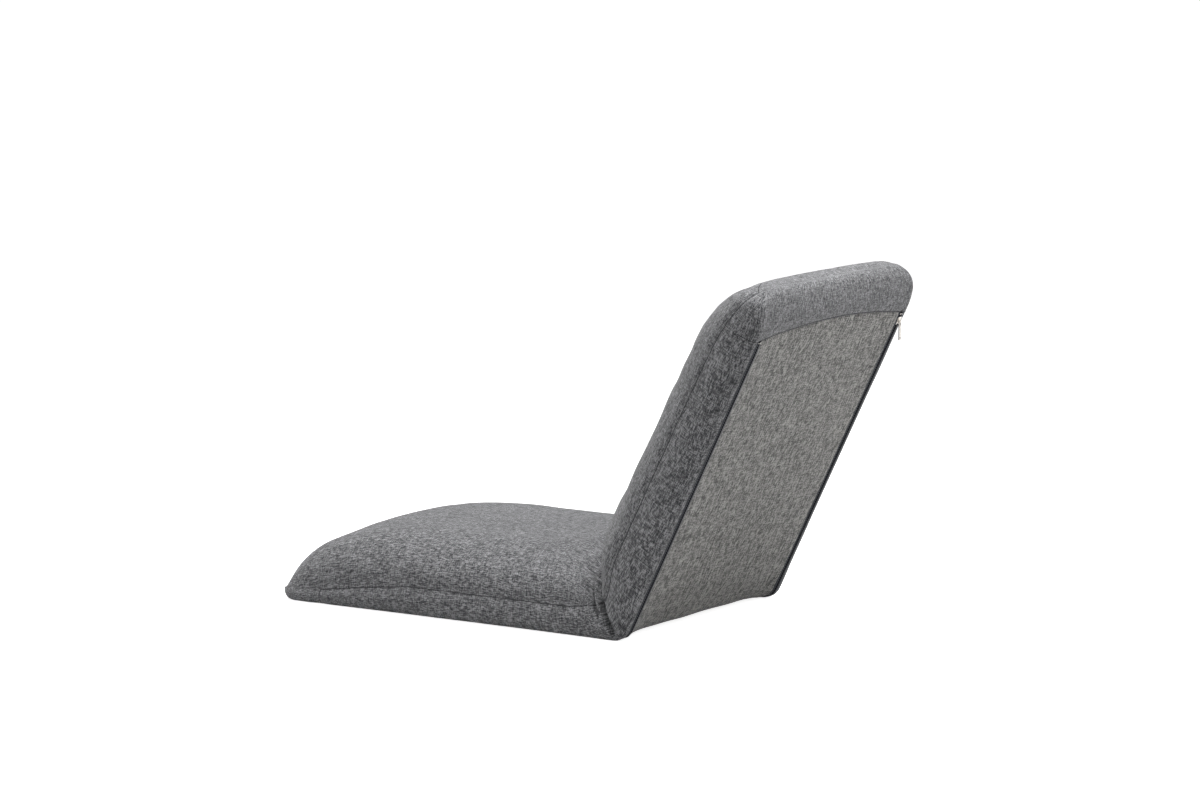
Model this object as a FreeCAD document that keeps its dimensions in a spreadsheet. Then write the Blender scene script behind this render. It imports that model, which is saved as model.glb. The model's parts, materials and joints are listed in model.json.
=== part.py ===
"""Folding floor chair: a padded seat and back on two bent tube frames, joined by a pair of ratchet hinges.

Every piece is drawn about the hinge axis, which is the local X axis. The seat lies along -Y. The back is
drawn lying along +Y, in line with the seat, and its placement raises it to its resting angle.
Millimetres and degrees.
"""
import FreeCAD, Part
import Sketcher
import os
from math import atan2, cos, hypot, pi, radians, sin, tan

V = FreeCAD.Vector
X_AXIS = V(1, 0, 0)
Y_AXIS = V(0, 1, 0)
Z_AXIS = V(0, 0, 1)

# Driving dimensions: name, value, meaning
SIZES = [
    ("rest_angle", 116, "angle between seat and back as the chair stands"),
    ("closed_angle", 84, "angle between seat and back where the ratchet lets go"),
    ("hinge_setback", 265, "hinge axis behind the middle of the flat underside"),
    ("hinge_height", 28, "hinge axis above the floor, and outer radius of the cloth round the corner"),
    ("seat_length", 565, "hinge axis to the tip of the seat's nose"),
    ("seat_crown", 119, "seat thickness on the centre line"),
    ("seat_taper_start", 400, "hinge axis to where the nose starts to fall"),
    ("seat_tip_height", 18, "height of the nose tip above the floor"),
    ("seat_lift_start", 540, "hinge axis to where the underside leaves the floor"),
    ("seat_corner_start", 480, "hinge axis to where the front corners turn in"),
    ("seat_tip_inset", 55, "edges of the pads to the ends of the nose tip"),
    ("seat_seam_share", 0.36, "height of the side seam, as a share of the crown"),
    ("seat_seam_share_tip", 0.21, "the same at the nose"),
    ("seat_seam_fall", 340, "hinge axis to where the side seam starts to fall"),
    ("seat_shoulder_share", 0.585, "where the crown turns down, as a share of the half width"),
    ("back_length", 540, "hinge axis to the top of the back"),
    ("back_crown", 117, "back thickness on the centre line"),
    ("back_taper_start", 370, "hinge axis to where the top starts to thin"),
    ("back_tip_height", 28, "how far the top ridge stands in front of the rear face"),
    ("back_lift_start", 465, "hinge axis to where the rear face rounds over"),
    ("back_corner_start", 480, "hinge axis to where the top corners turn in"),
    ("back_tip_inset", 95, "edges of the pads to the ends of the top ridge"),
    ("back_seam_share", 0.513, "depth of the side seam, as a share of the crown"),
    ("back_seam_share_tip", 0.5, "the same at the top"),
    ("back_seam_fall", 370, "hinge axis to where the side seam starts to move"),
    ("back_shoulder_share", 0.777, "where the crown turns down, as a share of the half width"),
    ("pad_half", 205, "half the width of the pads at their edges"),
    ("side_bulge", 5, "how far the sides swell past the edges"),
    ("shoulder_rise", 0.895, "height of the shoulder between the seam and the crown, as a share"),
    ("fullness", 1.8, "exponent of the rounded tips, 2 being an ellipse"),
    ("tip_blunt", 1, "how far short of a tip the last cross-section stands"),
    ("overrun", 30, "how far a cutting shape runs past what it cuts"),
    ("flat_reach", 4.5, "depth to which the flat panels are parted from the crowned ones"),
    ("cover_thickness", 1.5, "thickness of the cover cloth"),
    ("soft_gap", 0.3, "gap between foam and cloth"),
    ("fold_gap", 0.5, "half the gap left where seat and back meet at either end of the travel"),
    ("zip_inset", 12.5, "edges of the pads to the zip rows"),
    ("zip_tape", 6, "width of the slot between the panels that a zip row fills"),
    ("zip_split", 1.6, "gap between the two halves of a zip row"),
    ("zip_top", 462, "hinge axis to the top of the zip rows"),
    ("zip_bottom", 2, "hinge axis to the bottom of the zip rows"),
    ("zip_front", 478, "hinge axis to the front of the zip under the seat"),
    ("arch_rise", 15, "rise of the arched seam above the zip tops"),
    ("arch_lead", 1, "zip tops to the ends of the arched seam"),
    ("dart", 495, "hinge axis to the front seam of the seat's side panels"),
    ("corner_depth", 15, "depth of the short seam beside the zip tops"),
    ("back_seam_end", 499, "hinge axis to the top of the back's side seams"),
    ("tube_radius", 9.5, "outer radius of the frame tube"),
    ("tube_wall", 1.2, "wall of the frame tube"),
    ("tube_start", 64, "hinge axis to the open ends of the frame tubes"),
    ("frame_inset", 35, "edges of the pads to the middles of the side tubes"),
    ("frame_bend", 60, "bend radius of the frame tubes on the centre line"),
    ("seat_frame_reach", 505, "hinge axis to the front tube"),
    ("back_frame_reach", 475, "hinge axis to the top tube"),
    ("bar_radius", 6, "outer radius of the cross bars"),
    ("bar_wall", 1, "wall of the cross bars"),
    ("bar_first", 185, "hinge axis to the first cross bar"),
    ("bar_pitch", 150, "distance between the cross bars"),
    ("strap_width", 40, "width of the webbing straps"),
    ("strap_thickness", 1.6, "thickness of the webbing straps"),
    ("strap_first", 135, "hinge axis to the middle of the first strap"),
    ("strap_pitch", 120, "distance between the straps"),
    ("layer_gap", 0.2, "gap between the straps and the foam layers"),
    ("cheek_thickness", 2, "thickness of each fork cheek"),
    ("cheek_radius", 21, "radius of the fork cheeks about the hinge axis"),
    ("fork_depth", 50, "hinge axis to the bottom of the fork's slot"),
    ("fork_half_height", 9.5, "half the height of the fork's shank"),
    ("arm_thickness", 6, "thickness of the toothed arm and of the pawl"),
    ("arm_half_height", 8, "half the height of the toothed arm's shank"),
    ("shoulder_length", 5, "length of the collar that seats on the tube's end"),
    ("plug_length", 34, "length of the plugs inside the tubes"),
    ("plug_fit", 0.05, "radial fit of plugs, rivets and pins"),
    ("washer_thickness", 0.5, "thickness of the hinge washers"),
    ("washer_radius", 9, "outer radius of the hinge washers"),
    ("side_play", 0.05, "play on each side of a washer"),
    ("pivot_radius", 4, "radius of the pivot pin"),
    ("pivot_head_radius", 7, "radius of the pivot pin's heads"),
    ("pivot_head", 2.2, "thickness of the pivot pin's heads"),
    ("rivet_radius", 2, "radius of the rivets and pawl pins"),
    ("rivet_head_radius", 3.4, "radius of their heads"),
    ("rivet_head", 1.1, "thickness of their heads"),
    ("rivet_inset", 17, "tube end to the rivet"),
    ("ratchet_radius", 17, "radius over the ratchet teeth"),
    ("tooth_depth", 3, "depth of the ratchet teeth"),
    ("tooth_pitch", 16, "angle between locking positions"),
    ("tooth_slope", 12.5, "angle that a tooth's sloping flank takes at its tip"),
    ("tooth_root", 3.5, "angle that a notch is wide at its root"),
    ("tooth_count", 7, "number of notches"),
    ("lock_angle", 229, "direction of the steep flank that the pawl locks on, from +Y"),
    ("first_notch", 2, "notches between the locking one and the first"),
    ("pawl_reach", 33, "hinge axis to the pawl pin, along the fork"),
    ("pawl_rise", 3, "pawl pin above the hinge axis"),
    ("pawl_boss", 5, "radius of the pawl round its pin"),
    ("pawl_lever", 4, "half the height of the pawl's lever at its pin"),
    ("pawl_nose", 4, "height of the pawl's nose"),
    ("pawl_gap", 0.5, "gap between the pawl and the ratchet when locked"),
    ("release_angle", 8, "angle that the pawl swings out to let go"),
    ("spring_thickness", 0.6, "thickness of the pawl spring's leaf"),
    ("spring_width", 5, "width of the pawl spring's leaf"),
    ("spring_gap", 0.2, "gap between the pawl spring and the pawl"),
    ("spring_bend", 0.3, "where the spring comes up to the pawl's edge, as a share of that edge"),
    ("spring_touch", 0.55, "where the spring ends on the pawl's edge, as a share of that edge"),
    ("hinge_clearance", 24.3, "radius of the hinge pockets in the foam"),
    ("hinge_pocket_half", 14, "half the width of the hinge pockets in the foam"),
    ("crease_depth", 40, "how far the crease dips below the edges beside it"),
    ("crease_tuck", 10, "how far the cloth tucks in at the sides of the crease"),
    ("crease_round", 0.2, "how far the shoulders of the crease round out, as a share of their size"),
    ("crease_foot", 4, "hinge axis to the feet of the cloth at the sides of the fold"),
    ("bridge_inset", 55, "edges of the pads to the ends of the foam across the fold"),
    ("bridge_start", 30, "hinge axis to the foam across the fold"),
    ("bridge_cover", 8, "gap between the crease cloth and the foam under it"),
    ("slider_length", 12, "length of the zip slider"),
    ("slider_half", 4.5, "half the width of the zip slider"),
    ("slider_half_top", 2.7, "half the width of its top edge, between the cut corners"),
    ("slider_corner", 1.8, "height of those cut corners"),
    ("slider_waist", 5.4, "top of the zip slider to where it starts to narrow"),
    ("slider_half_foot", 3.3, "half the width of the zip slider at its foot"),
    ("slider_plate", 1.1, "thickness of the zip slider's plates"),
    ("slider_gap", 0.4, "gap between the slider's plates and the cover"),
    ("slider_wedge", 1.1, "width of the wedge that joins the slider's plates"),
    ("slider_wedge_length", 4, "length of that wedge"),
    ("slider_wedge_inset", 1, "top of the slider to that wedge"),
    ("slider_parked", 6, "zip tops to the top of the parked slider"),
    ("bail_height", 3.2, "height of the bail over the slider"),
    ("bail_half_length", 3.6, "half the length of the bail"),
    ("bail_width", 1.6, "width of the bail"),
    ("bail_half_top", 1.44, "half the length of the bail's flat top"),
    ("bail_half_knee", 2.7, "half the length of the bail where its ends turn in"),
    ("bail_knee", 2.4, "height over the slider where its ends turn in"),
    ("groove_half", 6, "half the width of the groove for the slider in the rear pad"),
    ("groove_room", 0.5, "gap under the slider in that groove"),
    ("stop_length", 2.5, "length of the zip's end stops"),
    ("stop_thickness", 0.8, "thickness of the zip's end stops"),
    ("pull_bar_radius", 0.8, "radius of the bar that turns in the bail"),
    ("pull_bar_fit", 0.08, "radial clearance of that bar in the bail"),
    ("pull_half_width", 2.6, "half the width of the zip pull"),
    ("pull_length", 27, "length of the zip pull"),
    ("pull_thickness", 1.4, "thickness of the zip pull"),
    ("pull_window_half", 1.2, "half the width of the windows in the zip pull"),
    ("pull_window_depth", 6, "pull's bar to the bottom of the window for the bail"),
    ("pull_hole_radius", 1.2, "radius of the hole at the foot of the zip pull"),
    ("pull_hole_inset", 3.2, "foot of the zip pull to its hole"),
]

doc = FreeCAD.newDocument("FloorChair")
sheet = doc.addObject("Spreadsheet::Sheet", "Sizes")
for row, (alias, value, meaning) in enumerate(SIZES, start=1):
    sheet.set("A%d" % row, meaning)
    sheet.set("B%d" % row, str(value))
    sheet.setAlias("B%d" % row, alias)
doc.recompute()

PIECES = []

# Widths that follow the pads' edges
FRAME_HALF = "(Sizes.pad_half - Sizes.frame_inset)"
ZIP_HALF = "(Sizes.pad_half - Sizes.zip_inset)"

# Places of the cross-sections: over the straight stretch and over a rounded tip, as shares of their lengths
FLAT_SHARES = (0.4, 0.8, 1)
TIP_SHARES = (0.28, 0.5, 0.68, 0.82, 0.92, 0.975, 1)
SEAM_SHARES = (1, 0.9, 0.8, 0.7, 0.6, 0.3)


def size(name):
    """Value of one driving dimension."""
    return float(sheet.get(name))


def edge_less(inset):
    """Half width of the pads at their edges, less an inset."""
    return size("pad_half") - size(inset)


def raise_angle():
    """Angle that the back is raised by from lying flat."""
    return 180 - size("rest_angle")


def keep(piece, name, raised=False, across="0"):
    """Name a finished piece and set it on the hinge axis, raised with the back or level with the seat."""
    piece.Label = name
    if raised:
        piece.Placement = FreeCAD.Placement(V(0, 0, 0), FreeCAD.Rotation(X_AXIS, raise_angle()))
    piece.setExpression("Placement.Base.x", across)
    piece.setExpression("Placement.Base.y", "Sizes.hinge_setback")
    piece.setExpression("Placement.Base.z", "Sizes.hinge_height")
    PIECES.append(piece)


# Sketches and features

def new_body(name):
    """Empty body."""
    return doc.addObject("PartDesign::Body", name)


def sketch(body, role, name, offset=None):
    """Sketch on one of the body's origin planes, moved along its normal by an expression."""
    plane = next(item for item in body.Origin.OriginFeatures if item.Role == role)
    drawing = body.newObject("Sketcher::SketchObject", name)
    drawing.AttachmentSupport = [(plane, "")]
    drawing.MapMode = "FlatFace"
    if offset:
        drawing.setExpression("AttachmentOffset.Base.z", offset)
    return drawing


def dimension(drawing, kind, where, expression):
    """Dimension in a sketch, driven by an expression."""
    index = drawing.addConstraint(Sketcher.Constraint(kind, *where, 1.0))
    drawing.setExpression("Constraints[%d]" % index, expression)


def circle(drawing, radius, across="0", up="0"):
    """Circle in a sketch, with radius and centre driven by expressions."""
    ring = drawing.addGeometry(Part.Circle(V(1, 1, 0), Z_AXIS, 1.0))
    dimension(drawing, "Radius", (ring,), radius)
    dimension(drawing, "DistanceX", (-1, 1, ring, 3), across)
    dimension(drawing, "DistanceY", (-1, 1, ring, 3), up)


def rectangle(drawing, left, right, bottom, top):
    """Rectangle in a sketch, with its four sides driven by expressions."""
    corners = [V(-1, -1, 0), V(1, -1, 0), V(1, 1, 0), V(-1, 1, 0)]
    sides = []
    for start, end in zip(corners, corners[1:] + corners[:1]):
        sides.append(drawing.addGeometry(Part.LineSegment(start, end)))
    for side, following in zip(sides, sides[1:] + sides[:1]):
        drawing.addConstraint(Sketcher.Constraint("Coincident", side, 2, following, 1))
    for side, kind in zip(sides, ("Horizontal", "Vertical", "Horizontal", "Vertical")):
        drawing.addConstraint(Sketcher.Constraint(kind, side))
    dimension(drawing, "DistanceX", (-1, 1, sides[0], 1), left)
    dimension(drawing, "DistanceY", (-1, 1, sides[0], 1), bottom)
    dimension(drawing, "DistanceX", (-1, 1, sides[2], 1), right)
    dimension(drawing, "DistanceY", (-1, 1, sides[2], 1), top)


def outline(drawing, points):
    """Closed straight-sided outline in a sketch through points worked out from the sheet."""
    for start, end in zip(points, points[1:] + points[:1]):
        drawing.addGeometry(Part.LineSegment(V(*start, 0), V(*end, 0)))


def pad(body, drawing, length, symmetric=False, reverse=False):
    """Pad of a sketch, with its length driven by an expression."""
    feature = body.newObject("PartDesign::Pad", drawing.Name + "_pad")
    feature.Profile = drawing
    feature.setExpression("Length", length)
    feature.SideType = "Symmetric" if symmetric else "One side"
    feature.Reversed = reverse
    return feature


def cut_through(body, drawing):
    """Pocket right through the body, to both sides of a sketch."""
    feature = body.newObject("PartDesign::Pocket", drawing.Name + "_cut")
    feature.Profile = drawing
    feature.Type = "ThroughAll"
    feature.SideType = "Symmetric"
    return feature


def x_cylinder(name, radius, length, middle="0", bore=None):
    """Part::Cylinder along X about the local origin, with an optional bore, driven by expressions."""
    rod = doc.addObject("Part::Cylinder", name)
    rod.Placement = FreeCAD.Placement(V(0, 0, 0), FreeCAD.Rotation(Y_AXIS, 90))
    rod.setExpression("Radius", radius)
    rod.setExpression("Height", length)
    rod.setExpression("Placement.Base.x", "%s - (%s) / 2" % (middle, length))
    if bore is None:
        return rod
    hole = x_cylinder(name + "_bore", bore, length, middle)
    tube = doc.addObject("Part::Cut", name + "_tube")
    tube.Base = rod
    tube.Tool = hole
    return tube


def compound(name, members):
    """Several solids as one piece."""
    group = doc.addObject("Part::Compound", name)
    group.Links = members
    return group


def fused(name, members):
    """Several solids joined into one."""
    joined = doc.addObject("Part::MultiFuse", name)
    joined.Shapes = members
    return joined


def feature(name, shape):
    """Piece whose shape is worked out from the sheet."""
    piece = doc.addObject("Part::Feature", name)
    piece.Shape = shape
    return piece


# Frames

def tube_frame(name, side, reach):
    """U-shaped frame of round tube: side is -1 for the seat and 1 for the back."""
    half = edge_less("frame_inset")
    bend = size("frame_bend")
    start = side * size("tube_start")
    far = side * size(reach)
    turn = far - side * bend
    body = new_body(name)
    spine = sketch(body, "XY_Plane", name + "_spine")
    quarter = (-pi / 2, 0) if side < 0 else (0, pi / 2)
    mirrored = (pi, 1.5 * pi) if side < 0 else (pi / 2, pi)
    spine.addGeometry(Part.LineSegment(V(half, start, 0), V(half, turn, 0)))
    spine.addGeometry(Part.ArcOfCircle(Part.Circle(V(half - bend, turn, 0), Z_AXIS, bend), *quarter))
    spine.addGeometry(Part.LineSegment(V(half - bend, far, 0), V(bend - half, far, 0)))
    spine.addGeometry(Part.ArcOfCircle(Part.Circle(V(bend - half, turn, 0), Z_AXIS, bend), *mirrored))
    spine.addGeometry(Part.LineSegment(V(-half, turn, 0), V(-half, start, 0)))
    ring = sketch(body, "XZ_Plane", name + "_ring", "%d * Sizes.tube_start" % -side)
    circle(ring, "Sizes.tube_radius", FRAME_HALF)
    circle(ring, "Sizes.tube_radius - Sizes.tube_wall", FRAME_HALF)
    doc.recompute()
    pipe = body.newObject("PartDesign::AdditivePipe", name + "_tube")
    pipe.Profile = ring
    pipe.Spine = (spine, ["Edge%d" % (index + 1) for index in range(len(spine.Shape.Edges))])
    holes = sketch(body, "XY_Plane", name + "_holes")
    for across in (FRAME_HALF, "-" + FRAME_HALF):
        circle(holes, "Sizes.rivet_radius + Sizes.plug_fit", across,
               "%d * (Sizes.tube_start + Sizes.rivet_inset)" % side)
    cut_through(body, holes)
    keep(body, name, raised=side > 0)


def cross_bars(name, side):
    """Two straight tubes between the frame's side tubes."""
    bars = []
    for index in range(2):
        length = "2 * (%s - Sizes.tube_radius)" % FRAME_HALF
        bore = "Sizes.bar_radius - Sizes.bar_wall"
        bar = x_cylinder("%s_%d" % (name, index), "Sizes.bar_radius", length, bore=bore)
        place = "%d * (Sizes.bar_first + %d * Sizes.bar_pitch)" % (side, index)
        bar.setExpression("Placement.Base.y", place)
        bars.append(bar)
    keep(compound(name, bars), name, raised=side > 0)


def straps(name, side):
    """Webbing loops, stretched round the frame's side tubes."""
    inner = size("tube_radius") + size("soft_gap")
    outer = inner + size("strap_thickness")
    half = edge_less("frame_inset")
    body = new_body(name)
    place = "%d * (Sizes.strap_first - Sizes.strap_width / 2)" % -side
    loop = sketch(body, "XZ_Plane", name + "_loop", place)
    for radius in (outer, inner):
        loop.addGeometry(Part.LineSegment(V(-half, radius, 0), V(half, radius, 0)))
        loop.addGeometry(Part.ArcOfCircle(Part.Circle(V(half, 0, 0), Z_AXIS, radius), -pi / 2, pi / 2))
        loop.addGeometry(Part.LineSegment(V(half, -radius, 0), V(-half, -radius, 0)))
        loop.addGeometry(Part.ArcOfCircle(Part.Circle(V(-half, 0, 0), Z_AXIS, radius), pi / 2, 1.5 * pi))
    web = pad(body, loop, "Sizes.strap_width", reverse=side > 0)
    doc.recompute()
    row = body.newObject("PartDesign::LinearPattern", name + "_row")
    row.Originals = [web]
    row.Direction = (next(item for item in body.Origin.OriginFeatures if item.Role == "Y_Axis"), [""])
    row.Reversed = side < 0
    row.Occurrences = 3
    row.setExpression("Length", "2 * Sizes.strap_pitch")
    body.Tip = row
    keep(body, name, raised=side > 0)


def rivets(name, side):
    """Rivets through the tubes and the hinge plugs inside them."""
    members = []
    for index, across in enumerate((FRAME_HALF, "-" + FRAME_HALF)):
        parts = []
        reach = "(Sizes.tube_radius + Sizes.rivet_head)"
        for label, radius, length, low in (
            ("shank", "Sizes.rivet_radius", "2 * " + reach, "-" + reach),
            ("top", "Sizes.rivet_head_radius", "Sizes.rivet_head", "Sizes.tube_radius"),
            ("foot", "Sizes.rivet_head_radius", "Sizes.rivet_head", "-" + reach),
        ):
            rod = doc.addObject("Part::Cylinder", "%s_%d_%s" % (name, index, label))
            rod.setExpression("Radius", radius)
            rod.setExpression("Height", length)
            rod.setExpression("Placement.Base.x", across)
            rod.setExpression("Placement.Base.y", "%d * (Sizes.tube_start + Sizes.rivet_inset)" % side)
            rod.setExpression("Placement.Base.z", low)
            parts.append(rod)
        members.append(fused("%s_%d" % (name, index), parts))
    keep(compound(name, members), name, raised=side > 0)


# Ratchet hinges

SLOT = "(Sizes.arm_thickness + 2 * Sizes.washer_thickness + 4 * Sizes.side_play)"
FORK = "(%s + 2 * Sizes.cheek_thickness)" % SLOT


def polar(radius, angle, about=(0, 0)):
    """Point in the Y-Z plane at a radius and direction from the hinge axis, measured from another point."""
    return (radius * cos(radians(angle)) - about[0], radius * sin(radians(angle)) - about[1])


def hinge_fork(name, across):
    """Fork on the seat's tube: two round cheeks, a shank, and a plug inside the tube."""
    body = new_body(name)
    disc = sketch(body, "YZ_Plane", name + "_disc")
    circle(disc, "Sizes.cheek_radius")
    pad(body, disc, FORK, symmetric=True)
    shank = sketch(body, "YZ_Plane", name + "_shank")
    rectangle(shank, "-Sizes.tube_start", "0", "-Sizes.fork_half_height", "Sizes.fork_half_height")
    pad(body, shank, FORK, symmetric=True)
    slot = sketch(body, "XY_Plane", name + "_slot")
    rectangle(slot, "-%s / 2" % SLOT, "%s / 2" % SLOT, "-Sizes.fork_depth", "2 * Sizes.cheek_radius")
    cut_through(body, slot)
    collar = sketch(body, "XZ_Plane", name + "_collar", "Sizes.tube_start - Sizes.shoulder_length")
    circle(collar, "Sizes.tube_radius")
    pad(body, collar, "Sizes.shoulder_length")
    plug = sketch(body, "XZ_Plane", name + "_plug", "Sizes.tube_start")
    circle(plug, "Sizes.tube_radius - Sizes.tube_wall - Sizes.plug_fit")
    pad(body, plug, "Sizes.plug_length")
    bores = sketch(body, "YZ_Plane", name + "_bores")
    circle(bores, "Sizes.pivot_radius + Sizes.plug_fit")
    circle(bores, "Sizes.rivet_radius + Sizes.plug_fit", "-Sizes.pawl_reach", "Sizes.pawl_rise")
    cut_through(body, bores)
    drill = sketch(body, "XY_Plane", name + "_drill")
    circle(drill, "Sizes.rivet_radius + Sizes.plug_fit", "0", "-(Sizes.tube_start + Sizes.rivet_inset)")
    cut_through(body, drill)
    keep(body, name, across=across)


def ratchet_arm(name, across):
    """Arm on the back's tube, with a toothed disc between the fork's cheeks."""
    body = new_body(name)
    disc = sketch(body, "YZ_Plane", name + "_disc")
    circle(disc, "Sizes.ratchet_radius")
    pad(body, disc, "Sizes.arm_thickness", symmetric=True)
    shank = sketch(body, "YZ_Plane", name + "_shank")
    rectangle(shank, "0", "Sizes.tube_start", "-Sizes.arm_half_height", "Sizes.arm_half_height")
    pad(body, shank, "Sizes.arm_thickness", symmetric=True)
    collar = sketch(body, "XZ_Plane", name + "_collar", "Sizes.shoulder_length - Sizes.tube_start")
    circle(collar, "Sizes.tube_radius")
    pad(body, collar, "Sizes.shoulder_length", reverse=True)
    plug = sketch(body, "XZ_Plane", name + "_plug", "-Sizes.tube_start")
    circle(plug, "Sizes.tube_radius - Sizes.tube_wall - Sizes.plug_fit")
    pad(body, plug, "Sizes.plug_length", reverse=True)
    bores = sketch(body, "YZ_Plane", name + "_bore")
    circle(bores, "Sizes.pivot_radius + Sizes.plug_fit")
    cut_through(body, bores)
    drill = sketch(body, "XY_Plane", name + "_drill")
    circle(drill, "Sizes.rivet_radius + Sizes.plug_fit", "0", "Sizes.tube_start + Sizes.rivet_inset")
    cut_through(body, drill)
    steep = size("lock_angle") - raise_angle() - size("first_notch") * size("tooth_pitch")
    tip = size("ratchet_radius")
    root = tip - size("tooth_depth")
    beyond = tip + size("tooth_depth")
    slope = size("tooth_slope")
    notch = sketch(body, "YZ_Plane", name + "_notch")
    outline(notch, [
        polar(root, steep),
        polar(beyond, steep),
        polar(beyond, steep - slope),
        polar(tip, steep - slope),
        polar(root, steep - size("tooth_root")),
    ])
    notch_cut = cut_through(body, notch)
    doc.recompute()
    teeth = body.newObject("PartDesign::PolarPattern", name + "_teeth")
    teeth.Originals = [notch_cut]
    teeth.Axis = (next(item for item in body.Origin.OriginFeatures if item.Role == "X_Axis"), [""])
    teeth.setExpression("Occurrences", "Sizes.tooth_count")
    teeth.setExpression("Angle", "(Sizes.tooth_count - 1) * Sizes.tooth_pitch")
    body.Tip = teeth
    keep(body, name, raised=True, across=across)


def headed_pin(name, radius, head_radius, head, across, reach="0", rise="0"):
    """Pin through the fork's cheeks, with a head outside each."""
    shank = x_cylinder(name + "_shank", radius, "%s + 2 * %s" % (FORK, head))
    heads = []
    for index, way in enumerate((1, -1)):
        middle = "%d * (%s + %s) / 2" % (way, FORK, head)
        heads.append(x_cylinder("%s_head_%d" % (name, index), head_radius, head, middle))
    for member in [shank] + heads:
        member.setExpression("Placement.Base.y", reach)
        member.setExpression("Placement.Base.z", rise)
    keep(fused(name, [shank] + heads), name, across=across)


def washers(name, across):
    """Thin washers between the toothed arm and the cheeks."""
    rings = []
    for index, way in enumerate((1, -1)):
        middle = "%d * ((Sizes.arm_thickness + Sizes.washer_thickness) / 2 + Sizes.side_play)" % way
        bore = "Sizes.pivot_radius + Sizes.plug_fit"
        label = "%s_%d" % (name, index)
        rings.append(x_cylinder(label, "Sizes.washer_radius", "Sizes.washer_thickness", middle, bore))
    keep(compound(name, rings), name, across=across)


def pawl_points():
    """Outline of the locked pawl about its pin, and the outer edge that its spring bears on."""
    pin = (-size("pawl_reach"), size("pawl_rise"))
    gap = size("pawl_gap")
    tip = size("ratchet_radius")
    root = tip - size("tooth_depth") + gap
    steep = size("lock_angle")
    nose = steep - degrees_of(gap, tip)
    slope = steep - size("tooth_slope")
    crest = root + size("pawl_nose")
    target = polar(root, nose, pin)
    span = hypot(*target)
    inward = (-target[1] / span * size("pawl_lever"), target[0] / span * size("pawl_lever"))
    outer_edge = [(-inward[0], -inward[1]), polar(crest, nose, pin)]
    return outer_edge + [
        polar(root, nose, pin),
        polar(root, steep - size("tooth_root"), pin),
        polar(tip + gap, slope, pin),
        polar(tip + gap, slope - size("tooth_pitch") / 2, pin),
        polar(tip + 2 * gap, slope - size("tooth_pitch"), pin),
        inward,
    ]


def degrees_of(length, radius):
    """Angle that a short length takes at a radius."""
    return length / radius * 180 / pi


def pawl(name, across):
    """Pawl on its pin, swung out clear of the teeth as it is stored."""
    body = new_body(name)
    boss = sketch(body, "YZ_Plane", name + "_boss")
    circle(boss, "Sizes.pawl_boss")
    pad(body, boss, "Sizes.arm_thickness", symmetric=True)
    lever = sketch(body, "YZ_Plane", name + "_lever")
    outline(lever, pawl_points())
    pad(body, lever, "Sizes.arm_thickness", symmetric=True)
    bore = sketch(body, "YZ_Plane", name + "_bore")
    circle(bore, "Sizes.rivet_radius + Sizes.plug_fit")
    cut_through(body, bore)
    keep(body, name, across=across)
    body.Placement = FreeCAD.Placement(V(0, 0, 0), FreeCAD.Rotation(X_AXIS, -size("release_angle")))
    body.setExpression("Placement.Base.y", "Sizes.hinge_setback - Sizes.pawl_reach")
    body.setExpression("Placement.Base.z", "Sizes.hinge_height + Sizes.pawl_rise")


def pawl_spring(name, place):
    """Leaf spring in the fork's slot, from the bottom of the slot to the pawl's outer edge."""
    swing = -radians(size("release_angle"))
    pin = (-size("pawl_reach"), size("pawl_rise"))
    edge = []
    for point in pawl_points()[:2]:
        across = point[0] * cos(swing) - point[1] * sin(swing)
        up = point[0] * sin(swing) + point[1] * cos(swing)
        edge.append((across + pin[0], up + pin[1]))
    run = hypot(edge[1][0] - edge[0][0], edge[1][1] - edge[0][1])
    along = ((edge[1][0] - edge[0][0]) / run, (edge[1][1] - edge[0][1]) / run)
    out = (along[1], -along[0])
    near = size("spring_gap")
    far = near + size("spring_thickness")
    wall = -size("fork_depth")
    low = -size("fork_half_height") + size("spring_gap")
    reach = size("spring_touch") * run
    touch = (edge[0][0] + reach * along[0], edge[0][1] + reach * along[1])
    reach = size("spring_bend") * run
    bend = (edge[0][0] + reach * along[0], edge[0][1] + reach * along[1])
    body = new_body(name)
    leaf = sketch(body, "YZ_Plane", name + "_leaf")
    outline(leaf, [
        (wall, low),
        (wall + size("pawl_boss"), low),
        (bend[0] + far * out[0], bend[1] + far * out[1]),
        (touch[0] + far * out[0], touch[1] + far * out[1]),
        (touch[0] + near * out[0], touch[1] + near * out[1]),
        (bend[0] + near * out[0], bend[1] + near * out[1]),
        (wall + size("pawl_boss"), low + size("spring_thickness")),
        (wall + size("spring_thickness"), low + size("spring_thickness")),
        (wall + size("spring_thickness"), size("fork_half_height") / 2),
        (wall, size("fork_half_height") / 2),
    ])
    pad(body, leaf, "Sizes.spring_width", symmetric=True)
    keep(body, name, across=place)


def hinges():
    """Both ratchet hinges."""
    for hand, across in (("left", FRAME_HALF), ("right", "-" + FRAME_HALF)):
        hinge_fork(hand + "_hinge_fork", across)
        ratchet_arm(hand + "_ratchet_arm", across)
        headed_pin(hand + "_pivot_pin", "Sizes.pivot_radius", "Sizes.pivot_head_radius", "Sizes.pivot_head",
                   across)
        washers(hand + "_hinge_washers", across)
        pawl(hand + "_pawl", across)
        headed_pin(hand + "_pawl_pin", "Sizes.rivet_radius", "Sizes.rivet_head_radius", "Sizes.rivet_head",
                   across, "-Sizes.pawl_reach", "Sizes.pawl_rise")
        pawl_spring(hand + "_pawl_spring", across)


# Pads and covers

def rounded(distance, start, end):
    """Share of a rounded tip's height left at a distance: 1 before it starts and 0 at its end."""
    share = min(max((distance - start) / (end - start), 0), 1)
    power = size("fullness")
    return (1 - share ** power) ** (1 / power)


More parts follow.
